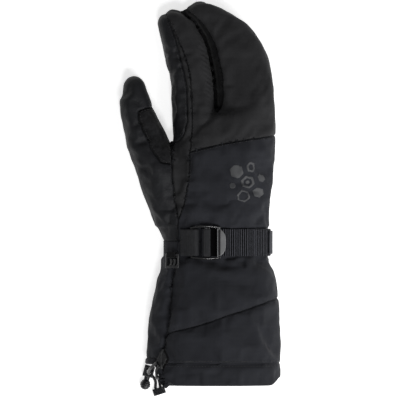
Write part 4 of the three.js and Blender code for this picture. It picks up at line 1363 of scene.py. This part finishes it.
def box_stitch():
    """A rectangle sewn through the short end of the webbing."""
    low, high = STRAP_Y - 9.6, STRAP_Y + 9.6
    left, right = (float(on_line(wrist, s, UPPER)[0]) for s in (-8.4, -3))
    corners = [(left, low), (right, low), (right, high), (left, high), (left, low)]
    return [np.linspace(a, b, 30) for a, b in zip(corners, corners[1:])]


anchor_points, anchor_faces = final_mesh(anchor)
anchor_tree = BVHTree.FromPolygons(anchor_points.tolist(), anchor_faces.tolist())
stitches("anchor_stitches", box_stitch(), anchor_tree, spacing=2.2, length=1.6)

tab_edge = np.array(TAB_OUTLINE + TAB_OUTLINE[:1])
tab_middle = np.mean(TAB_OUTLINE, axis=0)
tab_line = tab_middle + (tab_edge - tab_middle) * 0.72
tab_tree = BVHTree.FromPolygons(tab_points.tolist(), tab_faces.tolist())
tab_lines = [np.linspace(a, b, 20) for a, b in zip(tab_line, tab_line[1:])]
stitches("tab_stitches", tab_lines, tab_tree, spacing=1.7, length=1.2, radius=0.2)


# Surroundings

def add_stage():
    bpy.ops.mesh.primitive_plane_add(size=8, location=(0, 0, -0.0002))
    floor = bpy.context.object
    floor.name = "floor"
    material, _, shader = new_material("floor", (0.9, 0.9, 0.9), 0.9)
    shader.inputs["Emission Color"].default_value = (1, 1, 1, 1)
    shader.inputs["Emission Strength"].default_value = 0.65
    floor.data.materials.append(material)


def add_area(name, location, size, power, target=(-0.02, -0.02, 0.02)):
    light = bpy.data.lights.new(name, "AREA")
    light.shape = "RECTANGLE"
    light.size, light.size_y = size
    light.energy = power
    obj = bpy.data.objects.new(name, light)
    bpy.context.collection.objects.link(obj)
    obj.location = location
    obj.rotation_euler = (Vector(target) - Vector(location)).to_track_quat("-Z", "Y").to_euler()


def add_light():
    world = bpy.data.worlds.new("world")
    world.use_nodes = True
    background = next(node for node in world.node_tree.nodes if node.type == "BACKGROUND")
    background.inputs["Color"].default_value = (1, 1, 1, 1)
    background.inputs["Strength"].default_value = 0.22
    bpy.context.scene.world = world
    add_area("key", (0.8, -0.9, 1.1), (0.7, 0.5), 16.5)
    add_area("side", (1.2, -0.1, 0.4), (0.25, 0.9), 3)
    add_area("overhead", (0.05, -0.85, 1.8), (0.35, 0.35), 11)
    bpy.context.scene.view_settings.view_transform = "Standard"


add_stage()
add_light()
